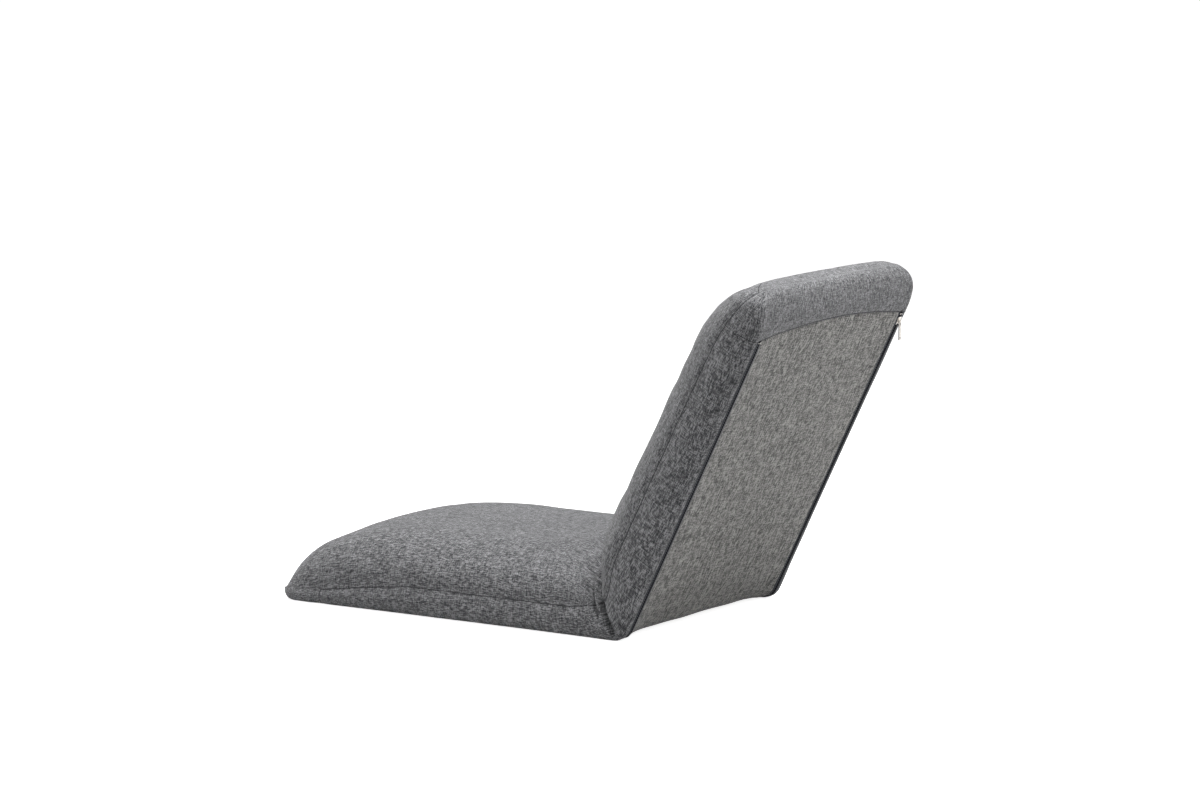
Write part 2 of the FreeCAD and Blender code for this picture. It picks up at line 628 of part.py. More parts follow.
class Pad:
    """Cushioned half of the chair, seat or back, as a loft of crowned sections along its length."""

    def __init__(self, name, side):
        self.name = name
        self.side = side
        self.length = size(name + "_length")

    def own(self, name):
        """Driving dimension of this half."""
        return size("%s_%s" % (self.name, name))

    def heights(self, distance):
        """Base, seam and crown heights above the flat face at a distance from the hinge axis."""
        tip = self.own("tip_height")
        crown = tip + (self.own("crown") - tip) * rounded(distance, self.own("taper_start"), self.length)
        base = tip * (1 - rounded(distance, self.own("lift_start"), self.length))
        fall_end = (size("dart") if self.side < 0 else self.length) - self.own("seam_fall")
        fall = min(max((distance - self.own("seam_fall")) / fall_end, 0), 1)
        share = self.own("seam_share") + (self.own("seam_share_tip") - self.own("seam_share")) * fall
        return base, base + (crown - base) * share, crown

    def half_width(self, distance):
        """Half the width at the edges at a distance from the hinge axis."""
        tip = edge_less(self.name + "_tip_inset")
        return tip + (size("pad_half") - tip) * rounded(distance, self.own("corner_start"), self.length)

    def section(self, distance, inset):
        """Crowned cross-section: flat base, swelling sides up to the seam, shoulders and crown."""
        base, seam, crown = self.heights(distance)
        half = self.half_width(distance) - inset
        bulge = half + size("side_bulge") * (crown - base) / self.own("crown")
        base = base + inset
        crown = crown - inset
        shoulder = (half * self.own("shoulder_share"), seam + (crown - seam) * size("shoulder_rise"))
        rise = crown - shoulder[1]
        dip = 2 * atan2(rise, shoulder[0])
        drop = (half - shoulder[0], shoulder[1] - seam)
        turn = atan2(drop[1], drop[0]) - dip
        chord = hypot(*drop)
        sag = chord / 2 * tan(turn / 2)
        middle = ((half + shoulder[0]) / 2 + sag * drop[1] / chord,
                  (seam + shoulder[1]) / 2 + sag * drop[0] / chord)
        y = self.side * distance
        floor = -size("hinge_height")

        def at(point, way=1):
            return V(way * point[0], y, floor + point[1])

        side = (bulge, (base + seam) / 2)
        edges = [
            Part.LineSegment(at((half, base), -1), at((half, base))),
            Part.Arc(at((half, base)), at(side), at((half, seam))),
            Part.Arc(at((half, seam)), at(middle), at(shoulder)),
            Part.Arc(at(shoulder), at((0, crown)), at(shoulder, -1)),
            Part.Arc(at(shoulder, -1), at(middle, -1), at((half, seam), -1)),
            Part.Arc(at((half, seam), -1), at(side, -1), at((half, base), -1)),
        ]
        return Part.Wire([edge.toShape() for edge in edges])

    def stations(self, inset):
        """Distances of the sections, closer together where the tip rounds over."""
        taper = self.own("taper_start")
        last = self.length - size("tip_blunt") - inset
        places = [-size("overrun") - inset, self.own("lift_start")]
        places += [taper * share for share in FLAT_SHARES]
        places += [taper + (last - taper) * share for share in TIP_SHARES]
        return sorted(places)

    def loft(self, inset):
        """Closed solid of the whole half, taken in from the outside by an inset."""
        sections = [self.section(distance, inset) for distance in self.stations(inset)]
        return Part.makeLoft(sections, True, True)

    def sector(self, gap):
        """Space about the hinge that this half keeps to over the whole travel, less a gap."""
        first = radians(180 - size("closed_angle") / 2)
        last = radians(270)
        middle = (first + last) / 2
        reach = 3 * self.length
        apex = gap / sin((last - first) / 2)
        corner = V(0, self.side * -apex * cos(middle), apex * sin(middle))
        points = [corner]
        for angle in (first, middle, last):
            points.append(corner + V(0, self.side * -reach * cos(angle), reach * sin(angle)))
        return x_prism(points, -reach, reach)

    def level(self, low, high, half, start, end, corner=0):
        """Block between two heights above the flat face, with its far corners rounded."""
        floor = -size("hinge_height")
        near = self.side * start
        far = self.side * end
        turn = far - self.side * corner
        points = [V(-half, near, 0), V(half, near, 0), V(half, turn, 0)]
        edges = [Part.makeLine(points[0], points[1]), Part.makeLine(points[1], points[2])]
        if corner:
            swell = corner * (1 - cos(pi / 4))
            bend_end = V(half - corner, far, 0)
            mid = V(half - swell, far - self.side * swell, 0)
            edges.append(Part.Arc(points[2], mid, bend_end).toShape())
            edges.append(Part.makeLine(bend_end, V(corner - half, far, 0)))
            mid = V(swell - half, far - self.side * swell, 0)
            edges.append(Part.Arc(V(corner - half, far, 0), mid, V(-half, turn, 0)).toShape())
        else:
            edges.append(Part.makeLine(points[2], V(-half, far, 0)))
        edges.append(Part.makeLine(V(-half, turn, 0), points[0]))
        block = Part.Face(Part.Wire(edges)).extrude(V(0, 0, high - low))
        block.translate(V(0, 0, floor + low))
        return block

    def side_panel_space(self, hand):
        """Space that a side panel's cloth lies in: beyond the zip row and behind the side seam."""
        floor = -size("hinge_height")
        end = size("dart") if self.side < 0 else size("back_seam_end")
        past = -size("overrun")
        seam = []
        for share in SEAM_SHARES:
            seam.append((end * share, self.heights(end * share)[1]))
        seam.append((past, self.heights(0)[1]))
        foot = [(past, past), (end, past)]
        if self.side > 0:
            foot = [(past, past), (size("zip_top"), past), (size("zip_top"), size("corner_depth"))]
        points = [V(0, self.side * distance, floor + height) for distance, height in foot + seam]
        inner = edge_less("zip_inset") + size("zip_tape") / 2
        outer = 2 * size("pad_half")
        low, high = (inner, outer) if hand == "left" else (-outer, -inner)
        return x_prism(points, low, high)


def x_prism(points, low, high):
    """Straight-sided prism along X over an outline in the Y-Z plane."""
    face = Part.Face(Part.makePolygon(points + points[:1]))
    prism = face.extrude(V(high - low, 0, 0))
    prism.translate(V(low, 0, 0))
    return prism


def x_sector(radius, low, high, first, last, bore=0):
    """Part of a round bar or ring about the hinge axis, between two directions in degrees from +Y.

    A cylinder along X starts its sweep at +Z, which is 90 degrees from +Y.
    """
    bar = Part.makeCylinder(radius, high - low, V(low, 0, 0), X_AXIS, last - first)
    if bore:
        bar = bar.cut(Part.makeCylinder(bore, high - low, V(low, 0, 0), X_AXIS))
    bar.rotate(V(0, 0, 0), X_AXIS, first - 90)
    return bar


def rear_face_space(low, high):
    """Space under the arched seam on the rear of the back, between two depths."""
    half = edge_less("zip_inset") - size("zip_tape") / 2
    foot = -size("overrun")
    ends = size("zip_top") + size("arch_lead")
    top = ends + size("arch_rise")
    edges = [
        Part.makeLine(V(-half, foot, 0), V(half, foot, 0)),
        Part.makeLine(V(half, foot, 0), V(half, ends, 0)),
        Part.Arc(V(half, ends, 0), V(0, top, 0), V(-half, ends, 0)).toShape(),
        Part.makeLine(V(-half, ends, 0), V(-half, foot, 0)),
    ]
    block = Part.Face(Part.Wire(edges)).extrude(V(0, 0, high - low))
    block.translate(V(0, 0, low - size("hinge_height")))
    return block


def soft_parts(half):
    """Foam layers and cover panels of the seat or the back."""
    name = half.name
    raised = half.side > 0
    cloth = size("cover_thickness")
    room = cloth + size("soft_gap")
    sector = half.sector(size("fold_gap"))
    shell = half.loft(0).cut(half.loft(cloth)).common(sector)
    filling = half.loft(room).common(sector)

    layer = size("tube_radius") + size("soft_gap") + size("strap_thickness") + size("layer_gap")
    height = size("hinge_height")
    cavity_half = edge_less("frame_inset") + layer
    cavity_end = half.own("frame_reach") + layer
    corner = size("frame_bend") + layer
    past = -size("overrun")
    cavity = half.level(height - layer, height + layer, cavity_half, past, cavity_end, corner)
    reach = edge_less("frame_inset")
    pocket_half = size("hinge_pocket_half")
    for middle in (reach, -reach):
        start = V(middle - pocket_half, 0, 0)
        cavity = cavity.fuse(Part.makeCylinder(size("hinge_clearance"), 2 * pocket_half, start, X_AXIS))
    thin = half.level(past, height - layer, 2 * size("pad_half"), past, 2 * half.length)
    thin_pad = filling.common(thin).cut(cavity)
    if raised:
        thin_pad = thin_pad.cut(slider_groove())
    foam = filling.cut(thin).cut(cavity)
    keep(feature(name + "_foam", foam), name + "_foam", raised)
    thin_name = "back_rear_pad" if raised else "seat_base_pad"
    keep(feature(thin_name, thin_pad), thin_name, raised)

    slot = size("zip_tape")
    deep = size("flat_reach")
    inner = edge_less("zip_inset") - slot / 2
    outer = edge_less("zip_inset") + slot / 2
    if raised:
        flat_space = rear_face_space(past, deep)
        flat_slot = half.level(past, deep, outer, past, size("zip_top"))
    else:
        flat_space = half.level(past, deep, inner, past, size("zip_front") - slot)
        flat_slot = half.level(past, deep, outer, past, size("zip_front"))
    crown_panel = shell.cut(flat_space).cut(flat_slot)
    for hand in ("left", "right"):
        space = half.side_panel_space(hand)
        side_name = "%s_side_panel_%s" % (name, hand)
        keep(feature(side_name, shell.common(space)), side_name, raised)
        crown_panel = crown_panel.cut(space)
    crown_name = "back_front_panel" if raised else "seat_top_panel"
    keep(feature(crown_name, crown_panel), crown_name, raised)
    flat_name = "back_rear_panel" if raised else "seat_underside_panel"
    keep(feature(flat_name, shell.common(flat_space)), flat_name, raised)


def seat_zip():
    """Zip that runs under the seat, down one side, across the front and back up the other."""
    gap = size("soft_gap")
    outside = edge_less("zip_inset") + size("zip_tape") / 2 - gap
    inside = edge_less("zip_inset") - size("zip_tape") / 2 + gap
    half = Pad("seat", -1)
    cloth = size("cover_thickness")
    front = size("zip_front") - gap
    band = half.level(0, cloth, outside, size("zip_bottom"), front)
    hole = half.level(-cloth, 2 * cloth, inside, -size("overrun"), front - size("zip_tape") + 2 * gap)
    keep(feature("seat_zip", band.cut(hole)), "seat_zip")


def zip_row(name, way):
    """Straight zip row up the rear face, as the two halves that the slider joins."""
    halves = []
    width = "((Sizes.zip_tape - Sizes.zip_split) / 2 - Sizes.soft_gap)"
    for index, side in enumerate((1, -1)):
        tape = doc.addObject("Part::Box", "%s_%d" % (name, index))
        tape.setExpression("Length", width)
        tape.setExpression("Width", "Sizes.zip_top - Sizes.zip_bottom - Sizes.soft_gap")
        tape.setExpression("Height", "Sizes.cover_thickness")
        middle = "%d * %s + %d * (Sizes.zip_split + %s) / 2" % (way, ZIP_HALF, side, width)
        tape.setExpression("Placement.Base.x", "%s - %s / 2" % (middle, width))
        tape.setExpression("Placement.Base.y", "Sizes.zip_bottom")
        tape.setExpression("Placement.Base.z", "-Sizes.hinge_height")
        halves.append(tape)
    keep(compound(name, halves), name, raised=True)


def zip_stops():
    """Metal stops crimped on the tops of both zip rows."""
    stops = []
    width = "((Sizes.zip_tape - Sizes.zip_split) / 2 - Sizes.soft_gap)"
    for way in (1, -1):
        for side in (1, -1):
            stop = doc.addObject("Part::Box", "zip_stop_%d" % len(stops))
            stop.setExpression("Length", width)
            stop.setExpression("Width", "Sizes.stop_length")
            stop.setExpression("Height", "Sizes.stop_thickness")
            middle = "%d * %s + %d * (Sizes.zip_split + %s) / 2" % (way, ZIP_HALF, side, width)
            stop.setExpression("Placement.Base.x", "%s - %s / 2" % (middle, width))
            stop.setExpression("Placement.Base.y", "Sizes.zip_top - Sizes.soft_gap - Sizes.stop_length")
            stop.setExpression("Placement.Base.z", "-Sizes.hinge_height - Sizes.stop_thickness")
            stops.append(stop)
    keep(compound("zip_stops", stops), "zip_stops", raised=True)


# Cloth and foam across the fold

def fold_point(across, radius, angle, shift):
    """Point in a plane through the hinge axis, at a distance across and a radius, shifted off the plane."""
    turn = radians(angle)
    return V(across, radius * cos(turn) - shift * sin(turn), radius * sin(turn) + shift * cos(turn))


def crease_section(angle, shift, half, foot, seam, shoulder, edge, crown, inset):
    """Cross-section of the cloth in the fold, in a plane along the hinge axis."""
    def wire_edges(take):
        def at(across, radius, way=1):
            return fold_point(way * across, radius, angle, shift)

        wide = half - take
        top = crown - take
        corner = edge - take
        swell = size("crease_round")
        bend = ((wide + shoulder) / 2 + (wide - shoulder) * swell,
                (seam + corner) / 2 + (corner - seam) * swell)
        return [
            Part.makeLine(at(wide, foot), at(wide, seam)),
            Part.Arc(at(wide, seam), at(*bend), at(shoulder, corner)).toShape(),
            Part.Arc(at(shoulder, corner), at(0, top), at(shoulder, corner, -1)).toShape(),
            Part.Arc(at(shoulder, corner, -1), at(*bend, -1), at(wide, seam, -1)).toShape(),
            Part.makeLine(at(wide, seam, -1), at(wide, foot, -1)),
        ]

    outside = wire_edges(0)
    inside = wire_edges(inset)
    first = Part.makeLine(inside[0].Vertexes[0].Point, outside[0].Vertexes[0].Point)
    last = Part.makeLine(outside[-1].Vertexes[-1].Point, inside[-1].Vertexes[-1].Point)
    return Part.Wire(Part.sortEdges([first] + outside + [last] + inside)[0])


def fold_angles():
    """Directions of the back's mitre, the middle of the fold and the seat's mitre as the chair stands."""
    seat_side = 180 - size("closed_angle") / 2
    back_side = size("closed_angle") / 2 + raise_angle()
    return back_side, (seat_side + back_side) / 2, seat_side


def crease_sizes(name):
    """Sizes of the cover's edge at a mitre: half width, seam, shoulder, shoulder radius and crown radius."""
    half = Pad(name, 1)
    _, seam, crown = half.heights(0)
    stretch = 1 / sin(radians(size("closed_angle") / 2))
    height = size("hinge_height")
    shoulder = seam + (crown - seam) * size("shoulder_rise")
    edge = size("pad_half")
    return (edge, (seam - height) * stretch, edge * half.own("shoulder_share"),
            (shoulder - height) * stretch, (crown - height) * stretch)


def crease():
    """Cloth down into the fold, and the foam that bridges it underneath."""
    back_side, middle, seat_side = fold_angles()
    cloth = size("cover_thickness")
    dip = size("crease_depth")
    seat = crease_sizes("seat")
    back = crease_sizes("back")
    valley = [(first + second) / 2 for first, second in zip(seat, back)]
    valley[0] -= size("crease_tuck")
    valley[3] -= dip
    valley[4] -= dip
    foot = size("crease_foot")
    near_panels = size("soft_gap") - size("fold_gap")
    places = ((back_side, back, near_panels), (middle, valley, 0), (seat_side, seat, -near_panels))
    sections = []
    for angle, sizes, shift in places:
        sections.append(crease_section(angle, shift, sizes[0], foot, *sizes[1:], cloth))
    keep(feature("crease_cloth", Part.makeLoft(sections, True, True)), "crease_cloth")
    half = edge_less("bridge_inset")
    near = size("bridge_start")
    rings = []
    for angle, sizes, shift in places:
        far = min(sizes[3], valley[3] + dip / 2) - size("bridge_cover")
        corners = [fold_point(across, radius, angle, shift)
                   for across, radius in ((-half, near), (half, near), (half, far), (-half, far))]
        rings.append(Part.makePolygon(corners + corners[:1]))
    keep(feature("crease_foam", Part.makeLoft(rings, True, True)), "crease_foam")


def corner():
    """Cloth and zip rows round the rear bottom corner, between the underside and the rear face."""
    radius = size("hinge_height")
    bore = radius - size("cover_thickness")
    margin = degrees_of(size("zip_bottom"), radius)
    first = -90 + margin
    last = raise_angle() - 90 - margin
    gap = size("soft_gap")
    inner = edge_less("zip_inset") - size("zip_tape") / 2
    outer = edge_less("zip_inset") + size("zip_tape") / 2
    edge = size("pad_half")
    cloth = [x_sector(radius, -inner, inner, first, last, bore)]
    zips = []
    for way in (1, -1):
        low, high = sorted((way * outer, way * edge))
        wrap = x_sector(radius, low, high, first, last, bore)
        low, high = sorted((way * (edge - size("cover_thickness")), way * edge))
        side = x_sector(radius, low, high, first, last, size("crease_foot"))
        cloth.append(wrap.fuse(side).removeSplitter())
        low, high = sorted((way * (inner + gap), way * (outer - gap)))
        zips.append(x_sector(radius, low, high, first, last, bore))
    keep(feature("corner_cloth", Part.makeCompound(cloth)), "corner_cloth")
    keep(feature("corner_zips", Part.makeCompound(zips)), "corner_zips")


# Zip slider and pull

def slider_top():
    """Distance from the hinge axis to the top of the parked slider."""
    return size("zip_top") - size("slider_parked")


def slider_groove():
    """Groove in the rear pad, along the right zip row, that the slider's inner plate runs in."""
    depth = size("cover_thickness") + size("slider_gap") + size("slider_plate") + size("groove_room")
    wide = size("groove_half")
    middle = -edge_less("zip_inset")
    length = 2 * size("zip_top")
    start = V(middle - wide, -length / 4, -size("hinge_height"))
    return Part.makeBox(2 * wide, length, depth, start)


def slider_outline(top, length):
    """Shield outline of the slider's plates."""
    wide = size("slider_half")
    narrow = size("slider_half_top")
    foot = size("slider_half_foot")
    middle = -edge_less("zip_inset")
    corner_end = top - size("slider_corner")
    waist = top - size("slider_waist")
    return [
        (middle - narrow, top),
        (middle + narrow, top),
        (middle + wide, corner_end),
        (middle + wide, waist),
        (middle + foot, top - length),
        (middle - foot, top - length),
        (middle - wide, waist),
        (middle - wide, corner_end),
    ]


def zip_slider():
    """Slider: an outer and an inner plate joined by a wedge, with a bail for the pull."""
    name = "zip_slider"
    body = new_body(name)
    top = slider_top()
    length = size("slider_length")
    middle = "-" + ZIP_HALF
    face = "-Sizes.hinge_height"
    outside = face + " - Sizes.slider_gap - Sizes.slider_plate"
    outer_plate = sketch(body, "XY_Plane", name + "_outer", outside)
    outline(outer_plate, slider_outline(top, length))
    pad(body, outer_plate, "Sizes.slider_plate")
    wedge = sketch(body, "XY_Plane", name + "_wedge", face + " - Sizes.slider_gap")
    wedge_top = "Sizes.zip_top - Sizes.slider_parked - Sizes.slider_wedge_inset"
    rectangle(wedge, middle + " - Sizes.slider_wedge / 2", middle + " + Sizes.slider_wedge / 2",
              wedge_top + " - Sizes.slider_wedge_length", wedge_top)
    pad(body, wedge, "2 * Sizes.slider_gap + Sizes.cover_thickness")
    inside = face + " + Sizes.slider_gap + Sizes.cover_thickness"
    inner_plate = sketch(body, "XY_Plane", name + "_inner", inside)
    outline(inner_plate, slider_outline(top, length))
    pad(body, inner_plate, "Sizes.slider_plate")
    bail = sketch(body, "YZ_Plane", name + "_bail", middle)
    low = -size("hinge_height") - size("slider_gap") - size("slider_plate")
    reach = size("bail_half_length")
    knee = size("bail_half_knee")
    crest = size("bail_half_top")
    centre = top - length / 2
    outline(bail, [
        (centre - reach, low),
        (centre + reach, low),
        (centre + knee, low - size("bail_knee")),
        (centre + crest, low - size("bail_height")),
        (centre - crest, low - size("bail_height")),
        (centre - knee, low - size("bail_knee")),
    ])
    pad(body, bail, "Sizes.bail_width", symmetric=True)
    eye = sketch(body, "YZ_Plane", name + "_eye", middle)
    circle(eye, "Sizes.pull_bar_radius + Sizes.pull_bar_fit",
           "Sizes.zip_top - Sizes.slider_parked - Sizes.slider_length / 2",
           outside + " - Sizes.bail_height / 2")
    cut_through(body, eye)
    keep(body, name, raised=True)


def zip_pull():
    """Pull that hangs straight down from the slider's bail: a bar, two arms and a tab with a hole."""
    name = "zip_pull"
    body = new_body(name)
    tab = sketch(body, "XZ_Plane", name + "_tab")
    rectangle(tab, "-Sizes.pull_half_width", "Sizes.pull_half_width", "-Sizes.pull_length", "0")
    pad(body, tab, "Sizes.pull_thickness", symmetric=True)
    window = sketch(body, "XZ_Plane", name + "_window")
    rectangle(window, "-Sizes.pull_window_half", "Sizes.pull_window_half", "-Sizes.pull_window_depth",
              "Sizes.pull_bar_radius")
    circle(window, "Sizes.pull_hole_radius", "0", "Sizes.pull_hole_inset - Sizes.pull_length")
    cut_through(body, window)
    bar = sketch(body, "YZ_Plane", name + "_bar")
    circle(bar, "Sizes.pull_bar_radius")
    pad(body, bar, "2 * Sizes.pull_half_width", symmetric=True)
    keep(body, name)
    lift = -size("hinge_height") - size("slider_gap") - size("slider_plate") - size("bail_height") / 2
    eye = V(-edge_less("zip_inset"), slider_top() - size("slider_length") / 2, lift)
    eye = FreeCAD.Rotation(X_AXIS, raise_angle()).multVec(eye)
    body.setExpression("Placement.Base.x", "-" + ZIP_HALF)
    body.setExpression("Placement.Base.y", "Sizes.hinge_setback + %.9f" % eye.y)
    body.setExpression("Placement.Base.z", "Sizes.hinge_height + %.9f" % eye.z)


def build():
    """Build every piece."""
    tube_frame("seat_frame", -1, "seat_frame_reach")
    cross_bars("seat_cross_bars", -1)
    straps("seat_straps", -1)
    rivets("seat_frame_rivets", -1)
    tube_frame("back_frame", 1, "back_frame_reach")
    cross_bars("back_cross_bars", 1)
    straps("back_straps", 1)
    rivets("back_frame_rivets", 1)
    hinges()
    soft_parts(Pad("seat", -1))
    soft_parts(Pad("back", 1))
    crease()
    corner()
    seat_zip()
    zip_row("zip_left", 1)
    zip_row("zip_right", -1)
    zip_stops()
    zip_slider()
    zip_pull()
    doc.recompute()


def check():
    """Stop if any object failed or any piece has no valid solid."""
    for item in doc.Objects:
        if "Invalid" in item.State or "Error" in item.State:
            raise RuntimeError("%s did not build" % item.Label)
    for piece in PIECES:
        if piece.Shape.isNull() or not piece.Shape.isValid() or not piece.Shape.Solids:
            raise RuntimeError("%s has no valid solid" % piece.Label)


build()
check()
os.makedirs("parts", exist_ok=True)
for piece in PIECES:
    piece.Shape.exportStep("parts/%s.step" % piece.Label)
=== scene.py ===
"""Looks of a folding floor chair: woven cover, zips, foam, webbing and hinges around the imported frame."""

import json
import logging
import math
from collections.abc import Iterator
from contextlib import contextmanager
from dataclasses import dataclass, field
from enum import Enum
from typing import NamedTuple

import bmesh
import bpy
import numpy as np
from mathutils import Matrix, Vector, noise
from mathutils.bvhtree import BVHTree


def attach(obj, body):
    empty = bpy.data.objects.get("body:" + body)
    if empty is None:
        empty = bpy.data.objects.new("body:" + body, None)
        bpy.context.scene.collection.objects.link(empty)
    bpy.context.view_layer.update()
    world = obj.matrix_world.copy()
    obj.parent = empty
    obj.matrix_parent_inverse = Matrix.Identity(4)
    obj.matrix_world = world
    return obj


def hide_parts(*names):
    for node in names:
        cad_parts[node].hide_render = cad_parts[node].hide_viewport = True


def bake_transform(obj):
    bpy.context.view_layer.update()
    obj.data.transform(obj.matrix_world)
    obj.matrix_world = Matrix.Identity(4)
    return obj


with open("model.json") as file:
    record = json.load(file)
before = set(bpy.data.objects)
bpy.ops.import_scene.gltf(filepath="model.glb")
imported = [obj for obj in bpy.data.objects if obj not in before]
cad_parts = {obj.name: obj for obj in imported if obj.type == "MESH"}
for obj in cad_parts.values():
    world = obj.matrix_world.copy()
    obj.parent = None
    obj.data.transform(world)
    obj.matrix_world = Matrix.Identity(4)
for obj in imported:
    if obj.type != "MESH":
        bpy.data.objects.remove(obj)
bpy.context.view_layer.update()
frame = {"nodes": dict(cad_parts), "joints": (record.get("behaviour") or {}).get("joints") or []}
LOG = logging.getLogger("floor_chair")

Triple = tuple[float, float, float]
Color = Triple
Pair = tuple[float, float]
Values = np.ndarray | float
Socket = bpy.types.NodeSocket

# Small amounts that keep a length of zero from being divided by.
NO_LENGTH = 1e-12
STRAIGHT = 1e-9
# Distance within which doubled points of a solid's mesh are one.
WELD = 1e-5
# Middle of a noise value's range.
NOISE_MIDDLE = 0.5
# Direction that no seam follows, to start a tube's sides from.
OFF_AXIS = (0.31, 0.52, 0.79)
WHITE = (1.0, 1.0, 1.0, 1.0)
BLOCK_CORNERS = ((-1, -1, -1), (1, -1, -1), (1, 1, -1), (-1, 1, -1),
                 (-1, -1, 1), (1, -1, 1), (1, 1, 1), (-1, 1, 1))
BLOCK_FACES = ((0, 3, 2, 1), (4, 5, 6, 7), (0, 1, 5, 4), (1, 2, 6, 5), (2, 3, 7, 6), (3, 0, 4, 7))


def portion(low: float, high: float, value: Values) -> Values:
    """Share of the way from low to high, held between 0 and 1."""
    return np.clip((value - low) / (high - low), 0.0, 1.0)


def smoothstep(low: float, high: float, value: Values) -> Values:
    """Smooth share, from 0 at low to 1 at high.

    Args:
        low: Value where the share is 0.
        high: Value where the share is 1.
        value: Values to rate.

    Returns:
        Shares from 0 to 1, in the shape of value.
    """
    share = portion(low, high, value)
    return share * share * (3.0 - 2.0 * share)


def gauss(value: Values, width: float) -> Values:
    """Bell curve of height 1 about zero."""
    return np.exp(-((value / width) ** 2))


def unit(vectors: np.ndarray) -> np.ndarray:
    """Vectors along the last axis, brought to length 1."""
    return vectors / (np.linalg.norm(vectors, axis=-1, keepdims=True) + NO_LENGTH)


def dimmed(color: Color, share: float) -> Color:
    """Colour with a share of its brightness left."""
    return tuple(share * part for part in color)


def arc_points(first: Pair, middle: Pair, last: Pair, count: int) -> np.ndarray:
    """Points along the circular arc through three points.

    Args:
        first: Start of the arc.
        middle: Point that the arc passes through.
        last: End of the arc.
        count: Number of steps.

    Returns:
        Array of count points, from just after first up to last.
    """
    a, b, c = (np.array(point, float) for point in (first, middle, last))
    steps = np.linspace(0.0, 1.0, count + 1)[1:, None]
    ab = b - a
    ac = c - a
    cross = 2.0 * (ab[0] * ac[1] - ab[1] * ac[0])
    if abs(cross) < STRAIGHT:
        return a + (c - a) * steps
    centre = a + np.array([
        ac[1] * (ab @ ab) - ab[1] * (ac @ ac),
        ab[0] * (ac @ ac) - ac[0] * (ab @ ab),
    ]) / cross
    turns = [math.atan2(*(point - centre)[::-1]) for point in (a, b, c)]
    sweep = (turns[2] - turns[0]) % math.tau
    if (turns[1] - turns[0]) % math.tau > sweep:
        sweep -= math.tau
    angle = turns[0] + sweep * steps[:, 0]
    radius = np.linalg.norm(a - centre)
    return centre + radius * np.stack([np.cos(angle), np.sin(angle)], axis=1)


def mesh_object(name: str, points: list, faces: list) -> bpy.types.Object:
    """New mesh object in the scene.

    Args:
        name: Name of the object and its mesh.
        points: Vertex positions in the row frame, in metres.
        faces: Vertex indices of each face.

    Returns:
        The object, with smooth shading.
    """
    mesh = bpy.data.meshes.new(name)
    mesh.from_pydata([tuple(point) for point in points], [], faces)
    mesh.update()
    mesh.shade_smooth()
    piece = bpy.data.objects.new(name, mesh)
    bpy.context.scene.collection.objects.link(piece)
    return piece


def apply_modifiers(piece: bpy.types.Object) -> None:
    """Put the result of a piece's modifiers into its mesh and take them off."""
    graph = bpy.context.evaluated_depsgraph_get()
    baked = bpy.data.meshes.new_from_object(piece.evaluated_get(graph))
    piece.modifiers.clear()
    piece.data = baked


def mesh_points(mesh: bpy.types.Mesh) -> np.ndarray:
    """Vertex positions of a mesh, one row each."""
    flat = np.empty(3 * len(mesh.vertices))
    mesh.vertices.foreach_get("co", flat)
    return flat.reshape(-1, 3)


@contextmanager
def edited(mesh: bpy.types.Mesh) -> Iterator[bmesh.types.BMesh]:
    """Mesh opened for editing, written back at the end."""
    shape = bmesh.new()
    shape.from_mesh(mesh)
    yield shape
    shape.to_mesh(mesh)
    shape.free()


def spread_evenly(points: np.ndarray, pitch: float) -> np.ndarray:
    """Points a steady distance apart along a polyline.

    Args:
        points: Corners of the polyline.
        pitch: Wanted distance between the points.

    Returns:
        The new points, both ends included.
    """
    lengths = np.concatenate([[0.0], np.cumsum(np.linalg.norm(np.diff(points, axis=0), axis=1))])
    count = max(2, int(round(lengths[-1] / pitch)) + 1)
    places = np.linspace(0.0, lengths[-1], count)
    return np.stack([np.interp(places, lengths, points[:, k]) for k in range(3)], axis=1)


def rounded_line(points: np.ndarray, passes: int) -> np.ndarray:
    """Polyline with its corners worn round and its ends kept.

    Args:
        points: Points of the polyline.
        passes: Number of smoothing passes.

    Returns:
        The smoothed points.
    """
    line = np.array(points, float)
    for _ in range(passes):
        line[1:-1] = (line[:-2] + 2.0 * line[1:-1] + line[2:]) / 4.0
    return line


